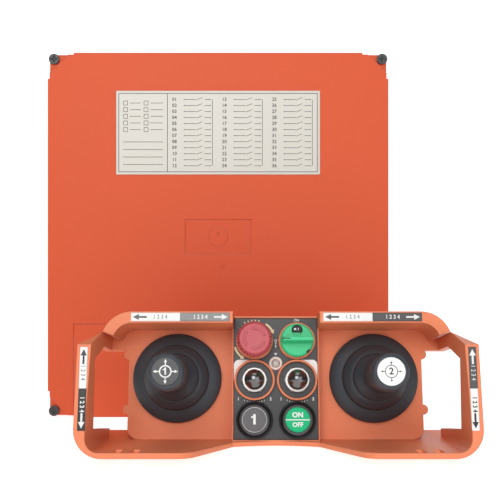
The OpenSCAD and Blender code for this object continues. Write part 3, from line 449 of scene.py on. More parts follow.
# Parts inside the receiver: boards in green resist, cream relays, green terminals, a
# laminated transformer and tinned screening cans, all fixed to the main board.
# Each finish is a colour, its deeper tone, a roughness and a metal share.
BOARD_GREEN = ((0.020, 0.150, 0.060), (0.014, 0.110, 0.045), 0.30, 0.0)
PLATED_STEEL = ((0.60, 0.60, 0.62), (0.50, 0.50, 0.52), 0.35, 1.0)
TINNED_CAN = ((0.65, 0.66, 0.68), (0.55, 0.56, 0.58), 0.28, 1.0)
SWITCH_CREAM = ((0.78, 0.77, 0.72), (0.70, 0.69, 0.64), 0.45, 0.0)
BLACK_NYLON = ((0.03, 0.03, 0.03), (0.02, 0.02, 0.02), 0.45, 0.0)
RECEIVER_INSIDE = {
    "main_board": BOARD_GREEN,
    "board_standoffs": PLATED_STEEL,
    "relay_bank": SWITCH_CREAM,
    "terminal_blocks": ((0.06, 0.34, 0.12), (0.04, 0.27, 0.09), 0.45, 0.0),
    "power_transformer": ((0.20, 0.21, 0.23), (0.14, 0.15, 0.17), 0.50, 0.7),
    "fuse_holders": BLACK_NYLON,
    "decoder_module": TINNED_CAN,
    "receiver_antenna": ((0.03, 0.03, 0.03), (0.02, 0.02, 0.02), 0.55, 0.0),
}


def finish_inside(finishes):
    """Each node moulded in its own finish."""
    for node, (colour, deep, rough, metallic) in finishes.items():
        mat = moulded(node + "_finish", colour, deep, rough, skin=400.0, metallic=metallic)
        moulding(node, mat, edge=0.0004, segments=2)


finish_inside(RECEIVER_INSIDE)

# Wiring label: a cream plastic plate with a grey ruled border. Its left cell has empty tick
# boxes and ruled lines, its right cell three columns of plain relay contacts with numbers.
LABEL_CREAM = (0.590, 0.575, 0.515)
LABEL_DEEP = (0.560, 0.540, 0.490)
INK_GREY = (0.050, 0.049, 0.052)
INK_BLACK = (0.010, 0.010, 0.011)
INK_T = 0.00008
LABEL_MARGIN = 0.0024
LABEL_LINE = 0.0005
LABEL_DIVIDE_SHARE = 0.245
LABEL_ROWS = 12
LABEL_COLUMNS = 3
FINE_LINE = 0.00040
NUMBER_SIZE = 0.0042
NUMBER_WEIGHT = 0.00006
CONTACT_GAP_SHARE = 0.22
CONTACT_LIFT = 0.0006
CONTACT_TURN = 22
CONTACT_ARM_SHARE = 1.1
CONTACT_DOT = (0.00025, 0.0005)
# Places and widths as shares of a column: the number, the contact and the common line
NUMBER_AT, CONTACT_AT, CONTACT_W, COMMON_AT = -0.36, 0.10, 0.52, 0.40
TICK_BOX = 0.0036
TICK_BOX_ROWS = 5
# The same in the left cell: each tick box, the line beside it and that line's length
TICK_PAIRS = ((-0.36, -0.16, 0.22), (0.06, 0.28, 0.26))
TICK_FIRST, TICK_STEP = 1.6, 1.1
RULED_LINES, RULED_FIRST, RULED_STEP, RULED_W = 4, 1.2, 1.25, 0.82
# Stroke of a figure 1, as shares of its size
FLAG_TOP, FLAG_LINE, FLAG_REACH = 0.34, 0.13, 0.26
FLAG_DROP, FLAG_FOOT, FLAG_STEM = 0.12, 0.24, 0.15
LINE_SPACE = 0.85
INK_BREAK = 0.82


def bar(bm, at, size, turn=0.0, thick=INK_T):
    """A thin printed bar in the plane z = 0, with its middle at a place, turned by degrees."""
    place = Matrix.Translation((at[0], at[1], thick / 2)) @ Matrix.Rotation(math.radians(turn), 4, "Z")
    bmesh.ops.create_cube(bm, size=1, matrix=place @ Matrix.Diagonal((size[0], size[1], thick, 1)))


def turn_outwards(bm, verts):
    """The faces round these vertices turned to point outwards."""
    bmesh.ops.recalc_face_normals(bm, faces=list({face for vert in verts for face in vert.link_faces}))


def ring(bm, at, inner, outer, start=0.0, end=360.0, thick=INK_T, steps=48):
    """A thin printed ring, or the part of it between two angles."""
    full = end - start >= 360
    first = Matrix.Rotation(math.radians(start), 4, "Z")
    corners = [(inner, 0, 0), (outer, 0, 0), (outer, 0, thick), (inner, 0, thick)]
    verts = [bm.verts.new(first @ Vector(c)) for c in corners]
    face = bm.faces.new(verts)
    steps = max(3, round(steps * (end - start) / 360))
    out = bmesh.ops.spin(bm, geom=[face], cent=(0, 0, 0), axis=(0, 0, 1),
                         angle=math.radians(end - start), steps=steps, use_merge=full)
    island, grow = set(), verts + picked(out["geom_last"], BMVert)
    while grow:
        vert = grow.pop()
        if vert.is_valid and vert not in island:
            island.add(vert)
            grow += [edge.other_vert(vert) for edge in vert.link_edges]
    if full and face.is_valid:
        bmesh.ops.delete(bm, geom=[face], context="FACES_ONLY")
    bmesh.ops.translate(bm, verts=list(island), vec=(at[0], at[1], 0))
    turn_outwards(bm, island)


def patch(bm, points, thick=INK_T):
    """A thin printed patch with the given corners."""
    verts = [bm.verts.new((x, y, 0)) for x, y in points]
    face = bm.faces.new(verts)
    out = bmesh.ops.extrude_face_region(bm, geom=[face])
    top = picked(out["geom"], BMVert)
    bmesh.ops.translate(bm, verts=top, vec=(0, 0, thick))
    turn_outwards(bm, verts + top)


def arrow(bm, at, turn, length, shaft, head, thick=INK_T):
    """A printed arrow whose tip points along +X before it is turned."""
    turned = Matrix.Rotation(math.radians(turn), 2)

    def placed(x, y):
        spot = turned @ Vector((x, y))
        return (at[0] + spot.x, at[1] + spot.y)

    tail, neck, tip = -length / 2, length / 2 - head, length / 2
    patch(bm, [placed(tail, -shaft / 2), placed(neck, -shaft / 2), placed(neck, shaft / 2),
               placed(tail, shaft / 2)], thick)
    patch(bm, [placed(neck, -head / 2), placed(tip, 0), placed(neck, head / 2)], thick)


def write(bm, words, at, size, turn=0.0, thick=INK_T, weight=0.0, stretch=1.0):
    """Plain figures, or ON and OFF, centred on a place, with their strokes thickened by a weight."""
    data = bpy.data.curves.new("figures", "FONT")
    data.body = words
    data.size = size
    data.align_x = "CENTER"
    data.align_y = "CENTER"
    data.resolution_u = 3
    data.extrude = thick / 2
    data.offset = weight
    data.space_line = LINE_SPACE
    holder = in_scene(bpy.data.objects.new("figures", data))
    mesh = bpy.data.meshes.new_from_object(holder)
    place = (Matrix.Translation((at[0], at[1], thick / 2))
             @ Matrix.Rotation(math.radians(turn), 4, "Z") @ Matrix.Diagonal((stretch, 1, 1, 1)))
    mesh.transform(place)
    bm.from_mesh(mesh)
    bpy.data.objects.remove(holder)
    bpy.data.curves.remove(data)
    bpy.data.meshes.remove(mesh)


def flag_one(bm, at, size):
    """The short stroke at the top left of a figure 1."""
    x, top, line, reach = at[0], at[1] + size * FLAG_TOP, size * FLAG_LINE, size * FLAG_REACH
    patch(bm, [(x - line / 2, top), (x - reach, top - size * FLAG_DROP),
               (x - reach, top - size * FLAG_FOOT), (x - line / 2, top - size * FLAG_STEM)])


def printed(name, bm, place, mat, body, slot, *nodes):
    """Flat artwork moved from its drawing plane to its place on the object."""
    bmesh.ops.transform(bm, matrix=place, verts=bm.verts)
    return new_piece(name, bm, [mat], body, slot, *nodes)


def ink(name, colour, rough=0.5):
    """Screen-printed ink: one tone broken by the texture of the surface below."""
    return moulded(name, colour, [INK_BREAK * c for c in colour], rough, skin=1500.0, bump=0.1, wear_and_shine=0.0)


def draw_contact(bm, x, y, width):
    """One line of the diagram: a lead, a relay contact and another lead."""
    gap = width * CONTACT_GAP_SHARE
    bar(bm, (x - width / 2 + gap, y), (gap * 2, FINE_LINE))
    bar(bm, (x + width / 2 - gap / 2, y), (gap, FINE_LINE))
    bar(bm, (x + gap / 3, y + CONTACT_LIFT), (gap * CONTACT_ARM_SHARE, FINE_LINE), CONTACT_TURN)
    ring(bm, (x - width / 2, y), *CONTACT_DOT, steps=10)
    ring(bm, (x + width / 2, y), *CONTACT_DOT, steps=10)


def draw_box(bm, x, y):
    """An empty tick box."""
    for side in (-1, 1):
        bar(bm, (x + side * TICK_BOX / 2, y), (FINE_LINE, TICK_BOX))
        bar(bm, (x, y + side * TICK_BOX / 2), (TICK_BOX, FINE_LINE))


def build_label():
    """The label's print, drawn flat and then stood up on the label's face."""
    low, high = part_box("wiring_label")
    width, height = high.x - low.x, high.z - low.z
    centre = Vector(((low.x + high.x) / 2, low.y, (low.z + high.z) / 2))
    place = Matrix.Translation(centre) @ Matrix.Rotation(math.radians(90), 4, "X")
    bm = bmesh.new()
    half_w, half_h = width / 2 - LABEL_MARGIN, height / 2 - LABEL_MARGIN
    for side in (-1, 1):
        bar(bm, (0, side * half_h), (2 * half_w, LABEL_LINE))
        bar(bm, (side * half_w, 0), (LABEL_LINE, 2 * half_h))
    divide = -half_w + 2 * half_w * LABEL_DIVIDE_SHARE
    bar(bm, (divide, 0), (LABEL_LINE, 2 * half_h))
    column = (half_w - divide) / LABEL_COLUMNS
    row = 2 * half_h / (LABEL_ROWS + 1)
    for c in range(LABEL_COLUMNS):
        middle = divide + (c + 0.5) * column
        for r in range(LABEL_ROWS):
            y = half_h - (r + 1) * row
            number = c * LABEL_ROWS + r + 1
            write(bm, f"{number:02d}", (middle + column * NUMBER_AT, y), NUMBER_SIZE, weight=NUMBER_WEIGHT)
            draw_contact(bm, middle + column * CONTACT_AT, y, column * CONTACT_W)
        bar(bm, (middle + column * COMMON_AT, 0), (FINE_LINE, 2 * half_h - 2 * row))
    cell, cell_w = (divide - half_w) / 2, divide + half_w
    for r in range(TICK_BOX_ROWS):
        y = half_h - (TICK_FIRST + TICK_STEP * r) * row
        for box_at, line_at, line_w in TICK_PAIRS:
            draw_box(bm, cell + cell_w * box_at, y)
            bar(bm, (cell + cell_w * line_at, y), (cell_w * line_w, FINE_LINE))
    for r in range(RULED_LINES):
        y = -half_h + (RULED_FIRST + RULED_STEP * r) * row
        bar(bm, (cell, y), (cell_w * RULED_W, FINE_LINE))
    printed("wiring_label_print", bm, place, ink("label_ink", INK_GREY), "receiver", "printed_label")


moulding("wiring_label", moulded("label_plastic", LABEL_CREAM, LABEL_DEEP, rough=0.35, skin=1200.0,
                                 bump=0.08, wear_and_shine=0.0), edge=0.0002, segments=2)
build_label()

# Transmitter housings: the big upper moulding with deck, guard, handles and console in
# one, the lower housing and the battery cover, all in a lighter orange plastic.
SHELL_ORANGE = (0.800, 0.240, 0.110)
SHELL_DEEP = (0.750, 0.205, 0.090)
SHELL_EDGE = 0.0009
JOINTS = {joint["name"]: joint for joint in frame["record"]["behaviour"]["joints"]}
PIVOT_DEPTH = 0.014
DECK_U = Vector(JOINTS["joystick_1_up_down"]["axis"])
DECK_V = Vector(JOINTS["joystick_1_left_right"]["axis"])
DECK_N = DECK_U.cross(DECK_V)
PIVOTS = [Vector(JOINTS[f"joystick_{i}_up_down"]["pos_m"]) for i in (1, 2)]
DECK_MIDDLE = (PIVOTS[0] + PIVOTS[1]) / 2 + DECK_N * PIVOT_DEPTH
DECK = Matrix.Translation(DECK_MIDDLE) @ Matrix((DECK_U, DECK_V, DECK_N)).transposed().to_4x4()
JOY_U = (PIVOTS[1] - PIVOTS[0]).length / 2


def on_deck(u, v, n):
    """Place on the transmitter: u to the right, v up the deck, n off it."""
    return DECK @ Matrix.Translation((u, v, n))


def deck_box(node, chosen=lambda p: True):
    """Lowest and highest corner of a node, or of the points chosen, in the deck's directions."""
    inverse = DECK.inverted()
    places = [inverse @ v.co for v in frame["nodes"][node].data.vertices]
    places = [p for p in places if chosen(p)]
    return [Vector(pick(p[i] for p in places) for i in range(3)) for pick in (min, max)]


def united(nodes):
    """One mesh of nodes that are one moulding on the real product and touch face to face."""
    holders = []
    for node in nodes:
        holder = in_scene(bpy.data.objects.new(node + "_part", frame["nodes"][node].data.copy()))
        bm = clean_copy(holder.data)
        bm.to_mesh(holder.data)
        bm.free()
        holders.append(holder)
    join = holders[0].modifiers.new("join", "BOOLEAN")
    join.operation = "UNION"
    join.solver = "EXACT"
    join.object = holders[1]
    whole = bpy.data.meshes.new_from_object(holders[0].evaluated_get(bpy.context.evaluated_depsgraph_get()))
    for holder in holders:
        bpy.data.objects.remove(holder)
    return whole


def build_upper_housing():
    bm = clean_copy(united(["upper_housing", "side_frames"]))
    shade_flats(new_piece("upper_housing_finished", bm, [shell_plastic], "transmitter",
                          SLOT_OF["upper_housing"], "upper_housing", "side_frames"))


shell_plastic = moulded("shell_plastic", SHELL_ORANGE, SHELL_DEEP, rough=0.46, shine=0.35)
build_upper_housing()
moulding("lower_housing", shell_plastic, SHELL_EDGE)
moulding("battery_cover", shell_plastic, edge=0.0004)
finish_node("housing_gasket", seal_rubber)

# Parts inside the transmitter: board, pillars, radio can, battery in its sleeve, switch
# blocks and the joystick bases, with plain steel screws and gimbals.
PLAIN_STEEL = ((0.62, 0.62, 0.63), (0.50, 0.50, 0.52), 0.30, 1.0)
TRANSMITTER_INSIDE = {
    "control_board": BOARD_GREEN,
    "board_pillars": PLATED_STEEL,
    "radio_module": TINNED_CAN,
    "battery_pack": ((0.03, 0.09, 0.34), (0.02, 0.07, 0.28), 0.25, 0.0),
    "battery_contacts": ((0.70, 0.50, 0.20), (0.60, 0.42, 0.16), 0.30, 1.0),
    "estop_block": SWITCH_CREAM,
    "rotary_block": SWITCH_CREAM,
    "button_blocks": SWITCH_CREAM,
    "toggle_bodies": ((0.04, 0.04, 0.042), (0.03, 0.03, 0.032), 0.40, 0.0),
    "joystick_base_1": BLACK_NYLON,
    "joystick_base_2": BLACK_NYLON,
    "estop_stem": BLACK_NYLON,
    "housing_screws": PLAIN_STEEL,
    "battery_cover_screws": PLAIN_STEEL,
    "gimbal_1": PLATED_STEEL,
    "gimbal_2": PLATED_STEEL,
    "stick_1": PLATED_STEEL,
    "stick_2": PLATED_STEEL,
}
finish_inside(TRANSMITTER_INSIDE)

# Control panel: a dark grey aluminium plate with a printed overlay. A white corner frames
# each toggle, plain figures mark its two sides, and ON and OFF stand by the rotary switch.
PANEL_GREY = (0.038, 0.037, 0.037)
PANEL_DEEP = (0.031, 0.030, 0.030)
PRINT_WHITE = (0.950, 0.950, 0.935)
PRINT_CREAM = (0.880, 0.720, 0.420)
PANEL_N = deck_box("control_panel")[1].z
TOGGLES = deck_box("toggle_guards")
ROTARY = deck_box("rotary_ring")
BUTTONS = deck_box("button_bezels")
RING_R = (ROTARY[1].x - ROTARY[0].x) / 2
COLUMN_U = (ROTARY[0].x + ROTARY[1].x) / 2
ROW_TOP = (ROTARY[0].y + ROTARY[1].y) / 2
ROW_MID = (TOGGLES[0].y + TOGGLES[1].y) / 2
ROW_LOW = (BUTTONS[0].y + BUTTONS[1].y) / 2
TOGGLE_R = (TOGGLES[1].y - TOGGLES[0].y) / 2
CORNER_R = 0.0040
CORNER_UNDER = 0.0012
CORNER_U = 0.0308 - COLUMN_U
CORNER_V = 0.0149
FIGURE_SIZE = 0.0030
FIGURE_WEIGHT = 0.0001
FIGURE_U = 0.0118
FIGURE_V = -0.0138
LEGEND_SIZE = 0.0026
LEGEND_WEIGHT = 0.00008
LEGEND_GAP = 0.0018
OFF_U = 0.0001
OFF_V = -0.0020
TICK = (0.0004, 0.0010)
TICKS_A_SIDE = 4
TICK_PITCH = 0.0018
TICK_V = -0.0160
TICK_BOW = 0.00008
WEDGE = [(-0.0012, 0.0178), (0, 0.0160), (0.0012, 0.0178)]


def build_white_corner(bm, side):
    """The white square's outer upper corner, which ends under the toggle's ring."""
    inside = TOGGLE_R - CORNER_UNDER
    turns = [math.radians(a) for a in range(0, 91, 6)]
    points = [(inside * math.sin(a), inside * math.cos(a)) for a in turns] + [(CORNER_U, 0)]
    points += [(CORNER_U - CORNER_R + CORNER_R * math.cos(a), CORNER_V - CORNER_R + CORNER_R * math.sin(a))
               for a in turns]
    points += [(0, CORNER_V)]
    patch(bm, [(side * (COLUMN_U + x), ROW_MID + y) for x, y in points])


def build_panel_print():
    """Figures, ticks, legends and the wedge above the lamp, as one print."""
    white = bmesh.new()
    for side in (-1, 1):
        build_white_corner(white, side)
        for step, figure in ((-1, "1"), (1, "2")):
            write(white, figure, (side * COLUMN_U + step * FIGURE_U, ROW_MID + FIGURE_V), FIGURE_SIZE,
                  weight=FIGURE_WEIGHT)
        for tick in range(-TICKS_A_SIDE, TICKS_A_SIDE + 1):
            bar(white, (side * COLUMN_U + tick * TICK_PITCH, ROW_MID + TICK_V + TICK_BOW * tick * tick),
                TICK, 2 * tick)
    write(white, "ON", (COLUMN_U, ROW_TOP + RING_R + LEGEND_GAP), LEGEND_SIZE, weight=LEGEND_WEIGHT)
    write(white, "O\nF\nF", (OFF_U, ROW_TOP + OFF_V), LEGEND_SIZE, weight=LEGEND_WEIGHT)
    patch(white, WEDGE)
    printed("panel_print", white, on_deck(0, 0, PANEL_N), ink("panel_white_ink", PRINT_WHITE),
            "transmitter", "panel_print")


moulding("control_panel", moulded("panel_overlay", PANEL_GREY, PANEL_DEEP, rough=0.34, skin=1400.0,
                                  bump=0.12, wear_and_shine=0.1), edge=0.0002, segments=2)
build_panel_print()

# Direction strips: printed film on the guard and the handles, half white and half dark,
# with an arrow at each outer end and a row of plain speed figures beside it.
STRIP_WHITE = (0.860, 0.860, 0.845)
STRIP_GREY = (0.230, 0.230, 0.232)
STRIP_DARK = (0.070, 0.070, 0.074)
STRIP_BLACK = (0.012, 0.012, 0.013)
ARROW_GREY = (0.085, 0.085, 0.090)
ARROW_T = 0.00006
ARROW_LENGTH = 0.0098
ARROW_SHAFT = 0.0013
ARROW_HEAD = 0.0042
ARROW_EDGE = 0.0014
SPEED_FIGURES = "1 2 3 4"
SPEED_SIZE = 0.0040
SPEED_WEIGHT = 0.00012
SPEED_STRETCH = 0.9


def build_strip(name, box, turn, shades):
    """One strip, half in each shade, drawn along +X and then turned to lie in its own box."""
    low, high = box
    middle = (low + high) / 2
    long, wide = max(high.x - low.x, high.y - low.y), min(high.x - low.x, high.y - low.y)
    thick = high.z - low.z
    place = on_deck(middle.x, middle.y, low.z) @ Matrix.Rotation(math.radians(turn), 4, "Z")
    for side, (film, mark) in zip((-1, 1), shades):
        bm = bmesh.new()
        bar(bm, (side * long / 4, 0), (long / 2, wide), 0, thick)
        half = "first" if side < 0 else "second"
        replaced = ["direction_strips"] if side < 0 else []
        printed(f"{name}_{half}_film", bm, place, film, "transmitter", "strip_print", *replaced)
        bm = bmesh.new()
        tip = side * (long / 2 - ARROW_EDGE - ARROW_LENGTH / 2)
        arrow(bm, (tip, 0), 0 if side > 0 else 180, ARROW_LENGTH, ARROW_SHAFT, ARROW_HEAD, ARROW_T)
        write(bm, SPEED_FIGURES, (side * (long / 4 - ARROW_LENGTH / 3), 0), SPEED_SIZE, 0, ARROW_T,
              weight=SPEED_WEIGHT if side > 0 else 0.0, stretch=SPEED_STRETCH)
        lifted = place @ Matrix.Translation((0, 0, thick))
        printed(f"{name}_{half}_marks", bm, lifted, mark, "transmitter", "strip_print")


def build_strips():
    """The four strips; each pair is a film and the shade of its marks."""
    films = {name: ink("strip_" + name, colour, 0.35) for name, colour in
             (("white", STRIP_WHITE), ("grey", STRIP_GREY), ("dark", STRIP_DARK), ("black", STRIP_BLACK),
              ("mark", ARROW_GREY))}
    white, grey, dark, black, mark = films.values()
    edge = deck_box("upper_housing")[1].x
    pale, plain = (white, mark), (white, black)
    for name, chosen, turn, shades in (
            ("guard_left", lambda p: -edge < p.x < 0, 0, (pale, (grey, white))),
            ("guard_right", lambda p: 0 < p.x < edge, 0, (pale, (dark, white))),
            ("handle_left", lambda p: p.x < -edge, -90, (plain, (black, white))),
            ("handle_right", lambda p: p.x > edge, -90, ((dark, white), plain))):
        build_strip(name, deck_box("direction_strips", chosen), turn, shades)


build_strips()

# Joystick boots: black rubber bellows, moulded in rings that step in from a flat flange
# to a narrow neck round the stick. Each is made in two lengths that meet at a crease.
BOOT_WALL = 0.0016
BOOT_R = (deck_box("joystick_boot_1")[1].x - deck_box("joystick_boot_1")[0].x) / 2
BOOT_TOP = deck_box("joystick_boot_1")[1].z
FLANGE_T = 0.0030
CREASES = [(0.0240, 0.0080), (0.0174, 0.0180), (0.0110, 0.0280)]
RISER = (0.0006, 0.0034)
SHOULDER = 0.0012
FACE_BULGE = 0.0004
NECK_BEND = 0.0012
BOOT_GREY = (0.034, 0.043, 0.052)
BOOT_DEEP = (0.025, 0.032, 0.040)
# Paler edge tone of the rubber: partly wear, partly painted highlight.
BOOT_WORN_AND_LIT = (0.090, 0.092, 0.098)
BOOT_SHARP = 40


def rounded_step(radius, height):
    """The shoulder above a riser: a quarter turn from upright to the sloping face."""
    turns = [math.radians(a) for a in (0, 30, 60)]
    return [(radius - SHOULDER * (1 - math.cos(a)), height + SHOULDER * math.sin(a)) for a in turns]


def boot_profile():
    """Radius and height along the boot: a flange, two risers and three sloping faces with creases."""
    points = [(BOOT_R, 0.0)] + rounded_step(BOOT_R, FLANGE_T)
    for crease in CREASES:
        start = points[-1]
        middle = ((start[0] + crease[0]) / 2, (start[1] + crease[1]) / 2)
        points += [(middle[0] + FACE_BULGE / 2, middle[1] + FACE_BULGE), crease]
        if crease is not CREASES[-1]:
            points += rounded_step(crease[0] - RISER[0], crease[1] + RISER[1])
    radius, height = CREASES[-1]
    return points + [(radius - NECK_BEND / 4, height + NECK_BEND), (radius, height + 4 * NECK_BEND),
                     (radius, BOOT_TOP)]


BOOT_PROFILE = boot_profile()
BOOT_SEAM = BOOT_PROFILE.index(CREASES[1])


def lathe(bm, profile, steps=96):
    """Turns a profile of radius and height about the z axis into a closed shell."""
    verts = [bm.verts.new((r, 0, z)) for r, z in profile]
    edges = [bm.edges.new(pair) for pair in zip(verts, verts[1:])]
    bmesh.ops.spin(bm, geom=verts + edges, cent=(0, 0, 0), axis=(0, 0, 1), angle=math.tau,
                   steps=steps, use_merge=True)
    bmesh.ops.remove_doubles(bm, verts=bm.verts, dist=SAME_PLACE)
    bmesh.ops.recalc_face_normals(bm, faces=bm.faces)


boot_rubber = moulded("boot_rubber", BOOT_GREY, BOOT_DEEP, rough=0.50, skin=700.0, bump=0.25, wear_and_shine=0.2,
                      worn_and_lit=BOOT_WORN_AND_LIT)


def boot_length(profile):
    """A stretch of the boot with its thickness, as a closed ring of rubber."""
    inside = [(r - BOOT_WALL, z) for r, z in reversed(profile)]
    return profile + inside + [profile[0]]


def build_boots():
    """Each boot as a skirt from deck to gimbal and a neck from gimbal to stick."""
    skirt, neck = BOOT_PROFILE[:BOOT_SEAM + 1], BOOT_PROFILE[BOOT_SEAM:]
    seam_n = neck[0][1]
    for i, side in ((1, -1), (2, 1)):
        place = on_deck(side * JOY_U, 0, 0)
        for name, stretch, bodies, start_n, end_n in (
                ("skirt", skirt, ("transmitter", f"gimbal_{i}"), CREASES[0][1], seam_n),
                ("neck", neck, (f"gimbal_{i}", f"stick_{i}"), seam_n, BOOT_TOP)):
            bm = bmesh.new()
            lathe(bm, boot_length(stretch))
            bmesh.ops.transform(bm, matrix=place, verts=bm.verts)
            piece = new_object(f"joystick_boot_{i}_{name}", bm, [boot_rubber], BOOT_SHARP)
            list(bodies)
            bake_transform(piece)
            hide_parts(f"joystick_boot_{i}")


build_boots()

# Grips and their discs: a rubber grip on each stick, with a printed disc let into its
# end that shows a ring, four arrows and the joystick's number.
DISC_N = deck_box("grip_disc_1")[1].z
DISC_DARK = (0.060, 0.060, 0.064)
DISC_DARK_DEEP = (0.050, 0.050, 0.054)
DISC_WHITE = (0.820, 0.820, 0.810)
DISC_WHITE_DEEP = (0.770, 0.770, 0.760)


def build_disc_print(i, side, colour, ring_r, line, tip_r, shaft, head, size, weight):
    """A ring round the number, and an arrow from it to each side."""
    bm = bmesh.new()
    ring(bm, (0, 0), ring_r - line / 2, ring_r + line / 2)
    length = tip_r - ring_r
    for turn in (0, 90, 180, 270):
        reach = Matrix.Rotation(math.radians(turn), 2) @ Vector((ring_r + length / 2, 0))
        arrow(bm, reach, turn, length, shaft, head)
    write(bm, str(i), (0, 0), size, weight=weight)
    if i == 1:
        flag_one(bm, (0, 0), size)
    printed(f"grip_disc_{i}_print", bm, on_deck(side * JOY_U, 0, DISC_N),
            ink(f"disc_{i}_ink", colour), f"stick_{i}", SLOT_OF[f"grip_disc_{i}"])


for i in (1, 2):
    moulding(f"grip_{i}", boot_rubber, edge=0.0005)
for i, name, colour, deep in ((1, "dark_disc", DISC_DARK, DISC_DARK_DEEP),
                              (2, "white_disc", DISC_WHITE, DISC_WHITE_DEEP)):
    moulding(f"grip_disc_{i}", moulded(name, colour, deep, rough=0.4, wear_and_shine=0.0), edge=0.0002, segments=2)
build_disc_print(1, -1, PRINT_WHITE, ring_r=0.0037, line=0.0009, tip_r=0.0081, shaft=0.0007, head=0.0021,
                 size=0.0062, weight=0.0002)
build_disc_print(2, 1, INK_BLACK, ring_r=0.0040, line=0.0004, tip_r=0.0068, shaft=0.0004, head=0.0013,
                 size=0.0062, weight=0.0001)

# Stop button: a red mushroom head with a scalloped edge and a dished top that carries
# three raised curved arrows, over an orange collar with cream arrows printed round it.
STOP_RED = (0.530, 0.088, 0.105)
STOP_DEEP = (0.460, 0.062, 0.078)
# Paler edge tone of the head: partly wear, partly painted highlight.
STOP_PALE = (0.660, 0.150, 0.170)
STOP_TOP = deck_box("estop_head")[1].z
STOP_DISH = 0.0006
STOP_ARROW_R = 0.0074
STOP_ARROW_W = 0.0015
STOP_ARROW_T = 0.0011
STOP_ARROW_HEAD = 0.0020
LEGEND_R = 0.0152
LEGEND_W = 0.0015
LEGEND_HEAD = 0.0028
LEGEND_SPANS = ((57, 31), (197, 230))
RESET_TICKS = (78, 88, 98, 108, 118)
RESET_TICK_HALF = 2
STOP_ARROW_SPAN = (15, 92)
ARROW_WIDE_SHARE = 0.6
stop_red = moulded("stop_red", STOP_RED, STOP_DEEP, rough=0.40, skin=300.0, bump=0.08, wear_and_shine=0.3,
                   worn_and_lit=STOP_PALE)


def polar(radius, angle):
    """The point at a radius and an angle."""
    return (radius * math.cos(angle), radius * math.sin(angle))


def curved_arrow(bm, radius, width, start, end, thick, head):
    """A bent arrow along a circle, with its head past the end angle."""
    ring(bm, (0, 0), radius - width / 2, radius + width / 2, min(start, end), max(start, end), thick)
    way = 1 if end > start else -1
    base = math.radians(end)
    tip = base + way * head / radius
    wide = head * ARROW_WIDE_SHARE
    patch(bm, [polar(radius - wide, base), polar(radius + wide, base), polar(radius, tip)], thick)


def build_stop():
    """Head, its raised arrows, the print round the collar and the collar itself."""
    moulding("estop_head", stop_red, edge=0.0003, segments=2, angle=40)
    bm = bmesh.new()
    for turn in (0, 120, 240):
        curved_arrow(bm, STOP_ARROW_R, STOP_ARROW_W, turn + STOP_ARROW_SPAN[0], turn + STOP_ARROW_SPAN[1],
                     STOP_ARROW_T, STOP_ARROW_HEAD)
    printed("estop_head_arrows", bm, on_deck(-COLUMN_U, ROW_TOP, STOP_TOP - STOP_DISH), stop_red,
            "estop_head", "stop_red")
    bm = bmesh.new()
    for start, end in LEGEND_SPANS:
        curved_arrow(bm, LEGEND_R, LEGEND_W, start, end, INK_T, LEGEND_HEAD)
    for middle in RESET_TICKS:
        ring(bm, (0, 0), LEGEND_R - LEGEND_W / 2, LEGEND_R + LEGEND_W / 2, middle - RESET_TICK_HALF,
             middle + RESET_TICK_HALF)
    printed("estop_legend", bm, on_deck(-COLUMN_U, ROW_TOP, PANEL_N), ink("legend_ink", PRINT_CREAM),
            "transmitter", "panel_print")
    moulding("estop_collar", shell_plastic, edge=0.0005)


build_stop()

# Rotary switch: an orange ring round a glossy green knob with a grip bar across it and
# a dark half-round window above the bar.
KNOB_GREEN = (0.030, 0.590, 0.240)
KNOB_DEEP = (0.022, 0.510, 0.205)
# Paler edge tone of the knob: partly wear, partly painted highlight.
KNOB_PALE = (0.260, 0.760, 0.420)
KNOB_FACE_RISE = 0.0053
KNOB_FACE = ROTARY[1].z + KNOB_FACE_RISE
KNOB_RIDGE = deck_box("rotary_knob")[1].z
NOTCH_V = 0.0073
NOTCH_R = 0.0038
NOTCH_DEPTH = 0.0020
NOTCH_FLAT = -0.0015
POINTER_R = (0.0107, 0.0121)
POINTER_SPAN = (-54, -38)
POINTER_T = 0.0004
WINDOW_T_SHARE = 0.6
MARK_DEPTH_SHARE = 0.4
# Place and size of each mark in the window, and of the line on the bar
WINDOW_MARKS = (((-0.0014, 0.0008), (0.0016, 0.0014)), ((0.0010, 0.0008), (0.0005, 0.0016)))
WINDOW_BLACK = (0.006, 0.006, 0.006)
LINE_AT, LINE_SIZE = (-0.0078, 0.0002), (0.0052, 0.0007)
LINE_TIP = [(-0.0112, 0.0002), (-0.0100, -0.0007), (-0.0100, 0.0011)]
knob_green = moulded("knob_green", KNOB_GREEN, KNOB_DEEP, rough=0.34, skin=300.0, bump=0.06, wear_and_shine=0.3,
                     worn_and_lit=KNOB_PALE)


